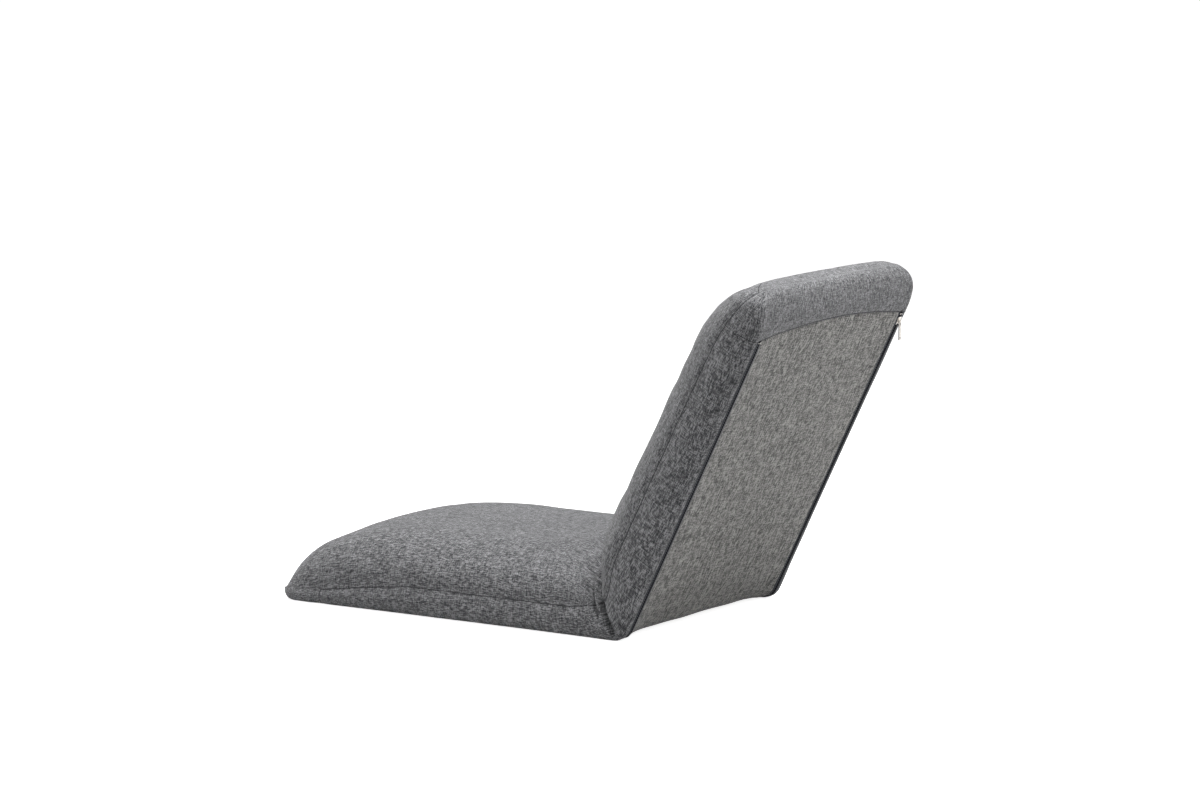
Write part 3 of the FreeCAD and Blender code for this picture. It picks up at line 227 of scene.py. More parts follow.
@dataclass
class MeshParts:
    """Vertices and faces gathered from several small forms."""

    points: list = field(default_factory=list)
    faces: list = field(default_factory=list)

    def add(self, points: list, faces: list) -> None:
        """Take in one more form."""
        start = len(self.points)
        self.points.extend(points)
        self.faces.extend([tuple(index + start for index in face) for face in faces])

    def add_tube(self, line: np.ndarray, radius: float, sides: int = 6) -> None:
        """Closed round tube along a line.

        Args:
            line: Points of its centre line.
            radius: Radius of the tube.
            sides: Number of sides.
        """
        tangents = unit(np.gradient(line, axis=0))
        side = np.cross(tangents[0], OFF_AXIS)
        points = []
        for place, tangent in zip(line, tangents):
            side = side - tangent * (side @ tangent)
            side /= np.linalg.norm(side)
            rise = np.cross(tangent, side)
            for index in range(sides):
                turn = math.tau * index / sides
                points.append(place + radius * (math.cos(turn) * side + math.sin(turn) * rise))
        self.add_rings(points, sides)

    def add_rings(self, points: list, sides: int, flipped: bool = False) -> None:
        """Closed form through rings of points.

        Args:
            points: Points of all rings, ring after ring.
            sides: Number of points in a ring.
            flipped: True where the rings run the other way round.
        """
        starts = range(0, len(points), sides)
        near_end = tuple(range(sides))
        far_end = tuple(range(starts[-1], len(points)))
        faces = [near_end, far_end[::-1]] if flipped else [near_end[::-1], far_end]
        for low, high in zip(starts, starts[1:]):
            for index in range(sides):
                pair = (index, (index + 1) % sides)
                here, after = pair[::-1] if flipped else pair
                faces.append((low + here, low + after, high + after, high + here))
        self.add(points, faces)

    def add_block(self, place: np.ndarray, axes: tuple, half: tuple) -> None:
        """Small block with its edges along three axes.

        Args:
            place: Middle of the block.
            axes: Three unit vectors.
            half: Half its size along each of them.
        """
        corners = []
        for signs in BLOCK_CORNERS:
            corners.append(place + sum(sign * size * axis for sign, size, axis in zip(signs, half, axes)))
        self.add(corners, BLOCK_FACES)

    def build(self, name: str) -> bpy.types.Object:
        """The gathered forms as one mesh object."""
        return mesh_object(name, self.points, self.faces)


class NodeMaker:
    """Short way to add and link the nodes of one material."""

    def __init__(self, name: str) -> None:
        """Start a material with a principled shader."""
        self.material = bpy.data.materials.new(name)
        self.material.use_nodes = True
        self.tree = self.material.node_tree
        self.shader = self.tree.nodes["Principled BSDF"]

    def node(self, kind: str, inputs: dict | None = None, **settings: object) -> bpy.types.Node:
        """New node.

        Args:
            kind: Blender's name of the node type.
            inputs: Socket name or number to a value or to another node's output socket.
            **settings: The node's own properties.

        Returns:
            The node.
        """
        made = self.tree.nodes.new(kind)
        for key, value in settings.items():
            setattr(made, key, value)
        for key, value in (inputs or {}).items():
            self.put(made.inputs[key], value)
        return made

    def put(self, socket: Socket, value: object) -> None:
        """Set a socket to a value, or link it to another node's output."""
        if isinstance(value, Socket):
            self.tree.links.new(value, socket)
        else:
            socket.default_value = value

    def surface(self, values: dict[str, object]) -> None:
        """Set or link inputs of the shader by their names."""
        for name, value in values.items():
            self.put(self.shader.inputs[name], value)

    def math(self, operation: str, *values: object) -> Socket:
        """Output of a math node."""
        made = self.node("ShaderNodeMath", dict(enumerate(values)), operation=operation)
        return made.outputs[0]

    def scaled(self, value: object, factor: float) -> Socket:
        """Value times a factor."""
        return self.math("MULTIPLY", value, factor)

    def total(self, first: object, second: object) -> Socket:
        """Sum of two values."""
        return self.math("ADD", first, second)

    def arched(self, value: object) -> Socket:
        """Arch from 0 to 1 and back over each whole step of a value."""
        return self.math("SINE", self.scaled(self.math("FRACT", value), math.pi))

    def mix(self, share: object, first: object, second: object) -> Socket:
        """Value between two others."""
        return self.node("ShaderNodeMix", {0: share, 2: first, 3: second}).outputs[0]

    def noise(self, vector: object, scale: float, detail: float = 2.0, roughness: float = 0.5) -> Socket:
        """Noise value at a place.

        Args:
            vector: Coordinates.
            scale: Cells per unit.
            detail: Octaves.
            roughness: Share of the finer octaves.

        Returns:
            The noise value's socket.
        """
        sockets = {"Vector": vector, "Scale": scale, "Detail": detail, "Roughness": roughness}
        return self.node("ShaderNodeTexNoise", sockets).outputs[0]

    def ramp(self, value: object, places: tuple[float, ...], colors: tuple[Color, ...]) -> Socket:
        """Colour read from a ramp.

        Args:
            value: Position on the ramp.
            places: Positions of the stops.
            colors: Colours of the stops.

        Returns:
            The colour's socket.
        """
        made = self.node("ShaderNodeValToRGB", {0: value})
        elements = made.color_ramp.elements
        while len(elements) < len(places):
            elements.new(NOISE_MIDDLE)
        for element, place, color in zip(elements, places, colors):
            element.position = place
            element.color = (*color, 1.0)
        return made.outputs[0]

    def grey_ramp(self, value: object, places: Pair, greys: Pair) -> Socket:
        """Number read from a ramp of greys."""
        return self.ramp(value, places, tuple((grey,) * 3 for grey in greys))

    def bump(self, height: object, strength: float, distance: float) -> None:
        """Raise the surface by a height, through the shader's normal."""
        made = self.node("ShaderNodeBump", {"Height": height, "Strength": strength, "Distance": distance})
        self.put(self.shader.inputs["Normal"], made.outputs[0])

    def vector(self, x: object, y: object, z: object) -> Socket:
        """Vector from three numbers."""
        return self.node("ShaderNodeCombineXYZ", {0: x, 1: y, 2: z}).outputs[0]

    def place(self) -> Socket:
        """Object coordinates, in metres."""
        return self.node("ShaderNodeTexCoord").outputs["Object"]

    def weave_place(self) -> tuple[Socket, Socket]:
        """Distances across and along a cloth panel, in metres."""
        coordinates = self.node("ShaderNodeUVMap", uv_map="cloth").outputs[0]
        parted = self.node("ShaderNodeSeparateXYZ", {0: coordinates})
        return parted.outputs[0], parted.outputs[1]


@dataclass(frozen=True)
class WovenCloth:
    """Plain weave of slubby light and dark yarns."""

    name: str
    dark: Color
    middle: Color
    light: Color
    yarn: float = 0.0008
    slub_length: float = 0.0075
    crossing: float = 0.5
    weft_share: float = 0.38
    spread: float = 0.105
    warp_seed: Pair = (7.13, 1.7)
    weft_seed: Pair = (5.71, 9.2)
    fineness: float = 0.6
    cloud_scale: float = 14.0
    cloud_detail: float = 3.0
    cloud_share: float = 0.012
    slub_lift: float = 0.8
    relief: Pair = (0.35, 0.0006)
    roughness: float = 0.92
    specular: float = 0.18
    sheen: float = 0.25
    sheen_roughness: float = 0.45

    def material(self) -> bpy.types.Material:
        """Cloth whose warp and weft yarns vary along their length."""
        make = NodeMaker(self.name)
        across, along = make.weave_place()
        warp = make.math("DIVIDE", across, self.yarn)
        weft = make.math("DIVIDE", along, self.yarn)
        warp_yarn = make.math("FLOOR", warp)
        weft_yarn = make.math("FLOOR", weft)
        run = 1.0 / self.slub_length
        step, seed = self.warp_seed
        warp_place = make.vector(make.scaled(warp_yarn, step), make.scaled(along, run), seed)
        step, seed = self.weft_seed
        weft_place = make.vector(make.scaled(across, run), make.scaled(weft_yarn, step), seed)
        warp_shade = make.noise(warp_place, 1.0, roughness=self.fineness)
        weft_shade = make.noise(weft_place, 1.0, roughness=self.fineness)
        over = make.math("MODULO", make.math("ABSOLUTE", make.total(warp_yarn, weft_yarn)), 2.0)
        lead = make.total(make.scaled(over, self.crossing), self.weft_share - 0.5 * self.crossing)
        mixed = make.mix(lead, warp_shade, weft_shade)
        cloudy = make.noise(make.vector(across, along, 0.0), self.cloud_scale, self.cloud_detail)
        cloud = make.scaled(make.math("SUBTRACT", cloudy, NOISE_MIDDLE), self.cloud_share)
        places = (NOISE_MIDDLE - self.spread, NOISE_MIDDLE, NOISE_MIDDLE + self.spread)
        color = make.ramp(make.total(mixed, cloud), places, (self.dark, self.middle, self.light))
        weave = make.mix(over, make.arched(warp), make.arched(weft))
        make.bump(make.total(weave, make.scaled(mixed, self.slub_lift)), *self.relief)
        make.surface({
            "Base Color": color,
            "Roughness": self.roughness,
            "Specular IOR Level": self.specular,
            "Sheen Weight": self.sheen,
            "Sheen Roughness": self.sheen_roughness,
        })
        return make.material


@dataclass(frozen=True)
class OpenFoam:
    """Open-celled upholstery foam."""

    name: str = "open_foam"
    color: Color = (0.72, 0.66, 0.48)
    dimming: float = 0.6
    pore_scale: float = 420.0
    pore_share: float = 0.7
    patch_scale: float = 18.0
    patch_detail: float = 3.0
    patch_share: float = 0.4
    stops: Pair = (0.2, 0.7)
    relief: Pair = (0.5, 0.0012)
    roughness: float = 0.95

    def material(self) -> bpy.types.Material:
        """Pale foam with fine pores and a few larger ones."""
        make = NodeMaker(self.name)
        place = make.place()
        sockets = {"Vector": place, "Scale": self.pore_scale}
        pores = make.node("ShaderNodeTexVoronoi", sockets).outputs["Distance"]
        patches = make.noise(place, self.patch_scale, self.patch_detail)
        shade = make.total(make.scaled(pores, self.pore_share), make.scaled(patches, self.patch_share))
        colors = (dimmed(self.color, self.dimming), self.color)
        make.bump(pores, *self.relief)
        make.surface({"Base Color": make.ramp(shade, self.stops, colors), "Roughness": self.roughness})
        return make.material


@dataclass(frozen=True)
class Webbing:
    """Elastic upholstery webbing with ribs along its length."""

    name: str = "elastic_webbing"
    color: Color = (0.05, 0.05, 0.055)
    stripe: Color = (0.32, 0.30, 0.27)
    rib: float = 0.0022
    rib_share: float = 0.22
    pick_share: float = 0.4
    fuzz_scale: float = 350.0
    fuzz_detail: float = 3.0
    stops: Pair = (0.45, 0.85)
    relief: Pair = (0.4, 0.0006)
    roughness: float = 0.8

    def material(self) -> bpy.types.Material:
        """Ribbed dark band with pale rubber threads showing through."""
        make = NodeMaker(self.name)
        parted = make.node("ShaderNodeSeparateXYZ", {0: make.place()})
        turn = math.tau / self.rib
        slant = make.total(parted.outputs[1], parted.outputs[2])
        ribs = make.math("SINE", make.scaled(slant, turn))
        picks = make.math("SINE", make.scaled(parted.outputs[0], turn))
        height = make.total(ribs, make.scaled(picks, self.pick_share))
        fuzz = make.noise(make.place(), self.fuzz_scale, self.fuzz_detail)
        shade = make.total(make.scaled(height, self.rib_share), fuzz)
        color = make.ramp(shade, self.stops, (self.color, self.stripe))
        make.bump(height, *self.relief)
        make.surface({"Base Color": color, "Roughness": self.roughness})
        return make.material


@dataclass(frozen=True)
class PowderCoat:
    """Powder-coated tube with an orange-peel skin and rubbed patches."""

    name: str = "powder_coat"
    color: Color = (0.045, 0.047, 0.05)
    rubbed: Color = (0.16, 0.16, 0.165)
    wear_noise: Triple = (35.0, 5.0, 0.65)
    wear_stops: Pair = (0.58, 0.74)
    gloss_stops: Pair = (0.4, 0.75)
    roughness: Pair = (0.5, 0.36)
    peel_noise: Pair = (900.0, 1.0)
    relief: Pair = (0.12, 0.0004)
    coat: float = 0.15

    def material(self) -> bpy.types.Material:
        """Semi-matt dark coat, rubbed grey in patches."""
        make = NodeMaker(self.name)
        place = make.place()
        wear = make.noise(place, *self.wear_noise)
        make.bump(make.noise(place, *self.peel_noise), *self.relief)
        make.surface({
            "Base Color": make.ramp(wear, self.wear_stops, (self.color, self.rubbed)),
            "Roughness": make.grey_ramp(wear, self.gloss_stops, self.roughness),
            "Coat Weight": self.coat,
        })
        return make.material


@dataclass(frozen=True)
class PlatedSteel:
    """Plated metal with a brushed grain."""

    name: str
    bright: Color
    dull: Color
    roughness: Pair = (0.42, 0.22)
    grain: Triple = (90.0, 900.0, 900.0)
    streak_detail: float = 3.0
    spot_noise: Triple = (160.0, 4.0, 0.6)
    color_stops: Pair = (0.35, 0.6)
    gloss_stops: Pair = (0.35, 0.65)
    relief: Pair = (0.08, 0.0003)

    def material(self) -> bpy.types.Material:
        """Metal with streaks and small dull spots."""
        make = NodeMaker(self.name)
        place = make.place()
        stretched = make.node("ShaderNodeMapping", {"Vector": place, "Scale": self.grain}).outputs[0]
        streaks = make.noise(stretched, 1.0, self.streak_detail)
        spots = make.noise(place, *self.spot_noise)
        shade = make.total(make.scaled(streaks, 0.5), make.scaled(spots, 0.5))
        make.bump(streaks, *self.relief)
        make.surface({
            "Base Color": make.ramp(shade, self.color_stops, (self.dull, self.bright)),
            "Roughness": make.grey_ramp(shade, self.gloss_stops, self.roughness),
            "Metallic": 1.0,
        })
        return make.material


@dataclass(frozen=True)
class Nylon:
    """Moulded, woven or twisted nylon."""

    name: str
    color: Color
    roughness: float = 0.45
    grain: float = 700.0
    gloss: float = 0.5
    dimming: float = 0.6
    stops: Pair = (0.3, 0.7)
    relief: Pair = (0.2, 0.0004)

    def material(self) -> bpy.types.Material:
        """Nylon with a fine grain and a little change of shade."""
        make = NodeMaker(self.name)
        grain = make.noise(make.place(), self.grain)
        colors = (dimmed(self.color, self.dimming), self.color)
        make.bump(grain, *self.relief)
        make.surface({
            "Base Color": make.ramp(grain, self.stops, colors),
            "Roughness": self.roughness,
            "Specular IOR Level": self.gloss,
        })
        return make.material


class Finish(Enum):
    """Finishes of the chair, each with the record's slot that it belongs to."""

    COVER = ("cover_cloth", WovenCloth("cover_weave", (0.034, 0.035, 0.038), (0.122, 0.123, 0.128),
                                       (0.37, 0.37, 0.38)))
    REAR = ("rear_cloth", WovenCloth("rear_weave", (0.050, 0.049, 0.048), (0.162, 0.160, 0.154),
                                     (0.44, 0.43, 0.41), yarn=0.0010, slub_length=0.010, weft_share=0.36,
                                     spread=0.075))
    # Seam thread: real thread, but its near-black colour is painted shade of the seam grooves.
    SEAM = ("cover_cloth", Nylon("seam_thread", (0.035, 0.035, 0.038), roughness=0.85, grain=900.0,
                                 dimming=0.55, stops=(0.35, 0.65), relief=(0.3, 0.0004)))
    FOAM = ("foam", OpenFoam())
    WEBBING = ("webbing", Webbing())
    FRAME = ("frame_steel", PowderCoat())
    HINGE = ("hinge_steel", PlatedSteel("zinc_plate", (0.66, 0.67, 0.68), (0.42, 0.43, 0.45)))
    WASHER = ("washer_plastic", Nylon("nylon_washer", (0.70, 0.68, 0.62)))
    ZIP_TAPE = ("zip_tape", Nylon("zip_tape", (0.010, 0.010, 0.017),
                                   roughness=0.85, grain=1400.0, gloss=0.2))
    ZIP_COIL = ("zip_tape", Nylon("zip_coil", (0.003, 0.003, 0.007),
                                   roughness=0.55, grain=1800.0, gloss=0.15))
    ZIP_METAL = ("zip_metal", PlatedSteel("nickel_plate", (0.78, 0.75, 0.71), (0.55, 0.52, 0.49),
                                          roughness=(0.34, 0.16)))

    def dress(self, piece: bpy.types.Object) -> None:
        """Give a new piece this finish."""
        piece.data.materials.clear()
        piece.data.materials.append(self.material())

    def dress_node(self, node: bpy.types.Object) -> None:
        """Give this finish to a node of the frame."""
        if not node.material_slots:
            node.data.materials.append(None)
        for slot in node.material_slots:
            slot.link = "OBJECT"
            slot.material = self.material()

    def material(self) -> bpy.types.Material:
        """This finish's material, made on first use."""
        recipe = self.value[1]
        return bpy.data.materials.get(recipe.name) or recipe.material()


@dataclass(frozen=True)
class Fold:
    """Hinge axis and angles of the fold, in the row frame."""

    setback: float
    height: float
    lean: float

    @classmethod
    def from_frame(cls) -> "Fold":
        """Read the hinge axis and the back's direction from the frame's joints."""
        joints = {joint["name"]: joint for joint in frame["joints"]}
        _, setback, height = joints["recline"]["pos_m"]
        _, back, up = joints["zip_slide"]["axis"]
        return cls(setback, height, math.atan2(-up, -back))

    @property
    def half_angle(self) -> float:
        """Half the angle between seat and back."""
        return (math.pi - self.lean) / 2.0

    @property
    def axis(self) -> np.ndarray:
        """Place of the hinge axis in the Y-Z plane."""
        return np.array([self.setback, self.height])

    @property
    def along_back(self) -> np.ndarray:
        """Direction from the hinge axis up the back, in the Y-Z plane."""
        return np.array([math.cos(self.lean), math.sin(self.lean)])

    @property
    def out_of_back(self) -> np.ndarray:
        """Direction square to the back's flat face, towards its crown, in the Y-Z plane."""
        return np.array([-math.sin(self.lean), math.cos(self.lean)])

    @property
    def inward(self) -> np.ndarray:
        """Direction from the hinge axis into the fold, in the Y-Z plane."""
        turn = self.lean + self.half_angle
        return np.array([math.cos(turn), math.sin(turn)])

    @property
    def toward_back(self) -> np.ndarray:
        """Direction square to the fold's middle plane, towards the back."""
        inward = self.inward
        return np.array([inward[1], -inward[0]])

    def world(self, raised: bool, across: np.ndarray, along: np.ndarray, out: np.ndarray) -> np.ndarray:
        """Places in the row frame of points given in the seat's or the back's own sizes.

        Args:
            raised: True for the back.
            across: Distances to the chair's left.
            along: Distances from the hinge axis.
            out: Heights above the flat face.

        Returns:
            Array of points.
        """
        rise = out - self.height
        if raised:
            y = along * math.cos(self.lean) - rise * math.sin(self.lean)
            z = along * math.sin(self.lean) + rise * math.cos(self.lean)
        else:
            y = -along
            z = rise
        return np.stack([across, y + self.setback, z + self.height], axis=-1)

    def crease_place(self, points: np.ndarray) -> tuple[np.ndarray, np.ndarray]:
        """Offsets of points from the fold's middle plane, towards the back, and distances into the fold."""
        inside = points[..., 1:] - self.axis
        return inside @ self.toward_back, inside @ self.inward

    def blend(self, piece: bpy.types.Object, reach: float) -> None:
        """Put a piece's placement into its mesh."""
        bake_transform(piece)


@dataclass(frozen=True)
class Section:
    """Cross-section of a pad: heights above its flat face and half widths."""

    base: float
    seam: float
    crown: float
    half: float
    shoulder_share: float

    def mixed(self, other: "Section", share: float) -> "Section":
        """Section between this one and another."""
        mine = vars(self)
        theirs = vars(other)
        return Section(**{key: mine[key] + (theirs[key] - mine[key]) * share for key in mine})


@dataclass(frozen=True)
class PadShape:
    """Outer form of the seat or the back, in metres from the hinge axis."""

    length: float
    crown: float
    taper_start: float
    tip_height: float
    lift_start: float
    corner_start: float
    tip_half: float
    seam_share: float
    seam_share_tip: float
    seam_fall: float
    seam_end: float
    shoulder_share: float
    fullness: float
    half: float = 0.207
    thinning: float = 0.0
    thin_start: float = 0.100

    def rounding(self, distance: float, start: float) -> float:
        """Share of a rounded tip's height left at a distance, 1 before start and 0 at the tip."""
        share = portion(start, self.length, distance)
        return (1.0 - share ** self.fullness) ** (1.0 / self.fullness)

    def thinned(self, distance: Values) -> Values:
        """Share of the crown's height left where the pad thins towards its tip."""
        return 1.0 - self.thinning * portion(self.thin_start, self.length, distance)

    def section(self, distance: float) -> Section:
        """Cross-section at a distance from the hinge axis."""
        tip = self.tip_height
        full = self.crown * self.thinned(distance)
        crown = tip + (full - tip) * self.rounding(distance, self.taper_start)
        base = tip * (1.0 - self.rounding(distance, self.lift_start))
        fall = portion(self.seam_fall, self.seam_end, distance)
        share = self.seam_share + (self.seam_share_tip - self.seam_share) * fall
        half = self.tip_half + (self.half - self.tip_half) * self.rounding(distance, self.corner_start)
        return Section(base, base + (crown - base) * share, crown, half, self.shoulder_share)


SEAT_SHAPE = PadShape(length=0.565, crown=0.1145, taper_start=0.370, tip_height=0.018, lift_start=0.540,
                      corner_start=0.540, tip_half=0.195, seam_share=0.36, seam_share_tip=0.21,
                      seam_fall=0.340, seam_end=0.495, shoulder_share=0.700, fullness=2.5)
BACK_SHAPE = PadShape(length=0.5275, crown=0.117, taper_start=0.415, tip_height=0.028, lift_start=0.465,
                      corner_start=0.495, tip_half=0.165, seam_share=0.513, seam_share_tip=0.5,
                      seam_fall=0.370, seam_end=0.5275, shoulder_share=0.777, fullness=2.0, thinning=0.095)


@dataclass(frozen=True)
class Slit:
    """One slit where the cover's side is drawn into the crease, steeper towards the back."""

    place: float
    depth: float
    back_half: float
    seat_half: float
    start: float
    full: float
    steepness: float = 3.0

    def tuck(self, offset: np.ndarray, deep: np.ndarray) -> np.ndarray:
        """How far the side is drawn in.

        Args:
            offset: Offsets from the fold's middle plane, towards the back.
            deep: Distances from the hinge axis into the fold.

        Returns:
            Distances to move the side in.
        """
        return self.depth * self.profile(offset) * smoothstep(self.start, self.full, deep)

    def profile(self, offset: np.ndarray) -> np.ndarray:
        """Share of the slit's depth at an offset from the fold's middle plane."""
        gap = offset - self.place
        reach = np.where(gap > 0.0, self.back_half, self.seat_half)
        return np.exp(-(np.abs(gap) / reach) ** self.steepness)


@dataclass(frozen=True)
class Crease:
    """Folded cloth where the seat meets the back: two slits with a pleat between them."""

    depth: float = 0.026
    spread: float = 0.018
    shift: float = -0.005
    slit_depth: float = 0.030
    back_slit: Slit = Slit(place=-0.0030, depth=0.060, back_half=0.0024, seat_half=0.0058,
                           start=-0.018, full=0.004)
    seat_slit: Slit = Slit(place=-0.0160, depth=0.023, back_half=0.0022, seat_half=0.0040,
                           start=0.010, full=0.024)
    hollow: float = 0.004
    hollow_half: float = 0.024
    hollow_zone: Pair = (-0.01, 0.03)
    valley_power: float = 1.5

    def dip(self, offset: np.ndarray) -> np.ndarray:
        """Depth of the crease at an offset from the fold's middle plane."""
        valley = np.exp(-(np.abs(offset - self.shift) / self.spread) ** self.valley_power)
        slits = np.maximum(self.back_slit.profile(offset), self.seat_slit.profile(offset))
        return self.depth * valley + self.slit_depth * slits

    def side_tuck(self, offset: np.ndarray, deep: np.ndarray) -> np.ndarray:
        """How far the sides are drawn in at an offset and a distance into the fold."""
        slits = np.maximum(self.back_slit.tuck(offset, deep), self.seat_slit.tuck(offset, deep))
        hollow = self.hollow * gauss(offset, self.hollow_half) * smoothstep(*self.hollow_zone, deep)
        return slits + hollow


@dataclass(frozen=True)
class LineLayout:
    """Lines round a cross-section, counted from the middle of the flat face by the chair's left."""

    flat: int = 18
    hem: int = 4
    side: int = 6
    shoulder: int = 10
    crown: int = 10

    @property
    def half_count(self) -> int:
        """Steps from the middle of the flat face to the middle of the crown."""
        return self.seam + self.shoulder + self.crown

    @property
    def seam(self) -> int:
        """Index of the left side seam's line."""
        return self.flat + self.hem + self.side

    @property
    def nearness(self) -> np.ndarray:
        """Steps of each line from the middle of the flat face, to either side."""
        lines = np.arange(2 * self.half_count)
        return np.minimum(lines, self.mirrored(lines))

    @property
    def within_hem(self) -> np.ndarray:
        """True for the lines on the flat face and its hems."""
        return self.nearness <= self.flat + self.hem

    @property
    def across_flat(self) -> list[int]:
        """Lines of the flat face, from the left zip row to the right one."""
        left = list(range(self.flat, 0, -1))
        return left + [self.mirrored(line) for line in range(self.flat + 1)]

    def mirrored(self, line: int | np.ndarray) -> int | np.ndarray:
        """Index of the same line on the chair's right."""
        return (2 * self.half_count - line) % (2 * self.half_count)

    def both_sides(self, first: int, last: int) -> tuple[list[int], list[int]]:
        """Lines from first to last on the left, and the same lines on the right."""
        left = list(range(first, last + 1))
        return left, [self.mirrored(line) for line in left]

    def on_flat(self, strip: int) -> bool:
        """Whether the strip of faces after a line lies on the flat face."""
        return min(strip, 2 * self.half_count - 1 - strip) < self.flat


@dataclass(frozen=True)
class Outline:
    """Outline of the cover's cross-sections."""

    lines: LineLayout = LineLayout()
    zip_half: float = 0.1925
    side_bulge: float = 0.005
    hem_round: float = 0.0030
    hem_share: float = 0.4
    hem_width: float = 0.0125
    hem_puff: float = 0.0022
    shoulder_rise: float = 0.895

    def loop(self, section: Section) -> np.ndarray:
        """Outline of one cross-section, round from the middle of the flat face.

        Args:
            section: Heights and half widths.

        Returns:
            Array of (across, out) points, one for each line.
        """
        left = np.concatenate([*self.low_part(section), *self.high_part(section)])
        right = left[-2:0:-1] * np.array([-1.0, 1.0])
        return np.concatenate([left, right])

    def low_part(self, section: Section) -> list[np.ndarray]:
        """Left half of the flat face, then the hem's turn and the side up to the seam."""
        lines = self.lines
        base = section.base
        half = section.half
        tall = (section.crown - base) / SEAT_SHAPE.crown
        zip_half = min(self.zip_half, half - self.hem_width * min(1.0, tall * 2.0))
        hem = min(self.hem_round, self.hem_share * (section.seam - base))
        flat = [np.linspace(0.0, zip_half, lines.flat + 1), np.full(lines.flat + 1, base)]
        turn = np.linspace(0.0, math.pi / 2.0, lines.hem + 1)[1:]
        puff = self.hem_puff * min(1.0, tall) * np.sin(2.0 * turn)
        turned = [zip_half + (half - zip_half) * np.sin(turn), base + hem * (1.0 - np.cos(turn)) - puff]
        share = np.linspace(0.0, 1.0, lines.side + 1)[1:]
        side = [half + self.side_bulge * tall * np.sin(math.pi * share),
                base + hem + (section.seam - base - hem) * share]
        return [np.stack(part, axis=1) for part in (flat, turned, side)]

    def high_part(self, section: Section) -> list[np.ndarray]:
        """Shoulder from the left seam up, then the left half of the crown."""
        half = section.half
        seam = section.seam
        shoulder = (half * section.shoulder_share, seam + (section.crown - seam) * self.shoulder_rise)
        drop = (half - shoulder[0], shoulder[1] - seam)
        dip = 2.0 * math.atan2(section.crown - shoulder[1], shoulder[0])
        chord = math.hypot(*drop)
        sag = chord / 2.0 * math.tan((math.atan2(drop[1], drop[0]) - dip) / 2.0)
        middle = ((half + shoulder[0]) / 2.0 + sag * drop[1] / chord,
                  (seam + shoulder[1]) / 2.0 + sag * drop[0] / chord)
        rising = arc_points((half, seam), middle, shoulder, self.lines.shoulder)
        other_shoulder = (-shoulder[0], shoulder[1])
        crown = arc_points(shoulder, (0.0, section.crown), other_shoulder, 2 * self.lines.crown)
        return [rising, crown[:self.lines.crown]]


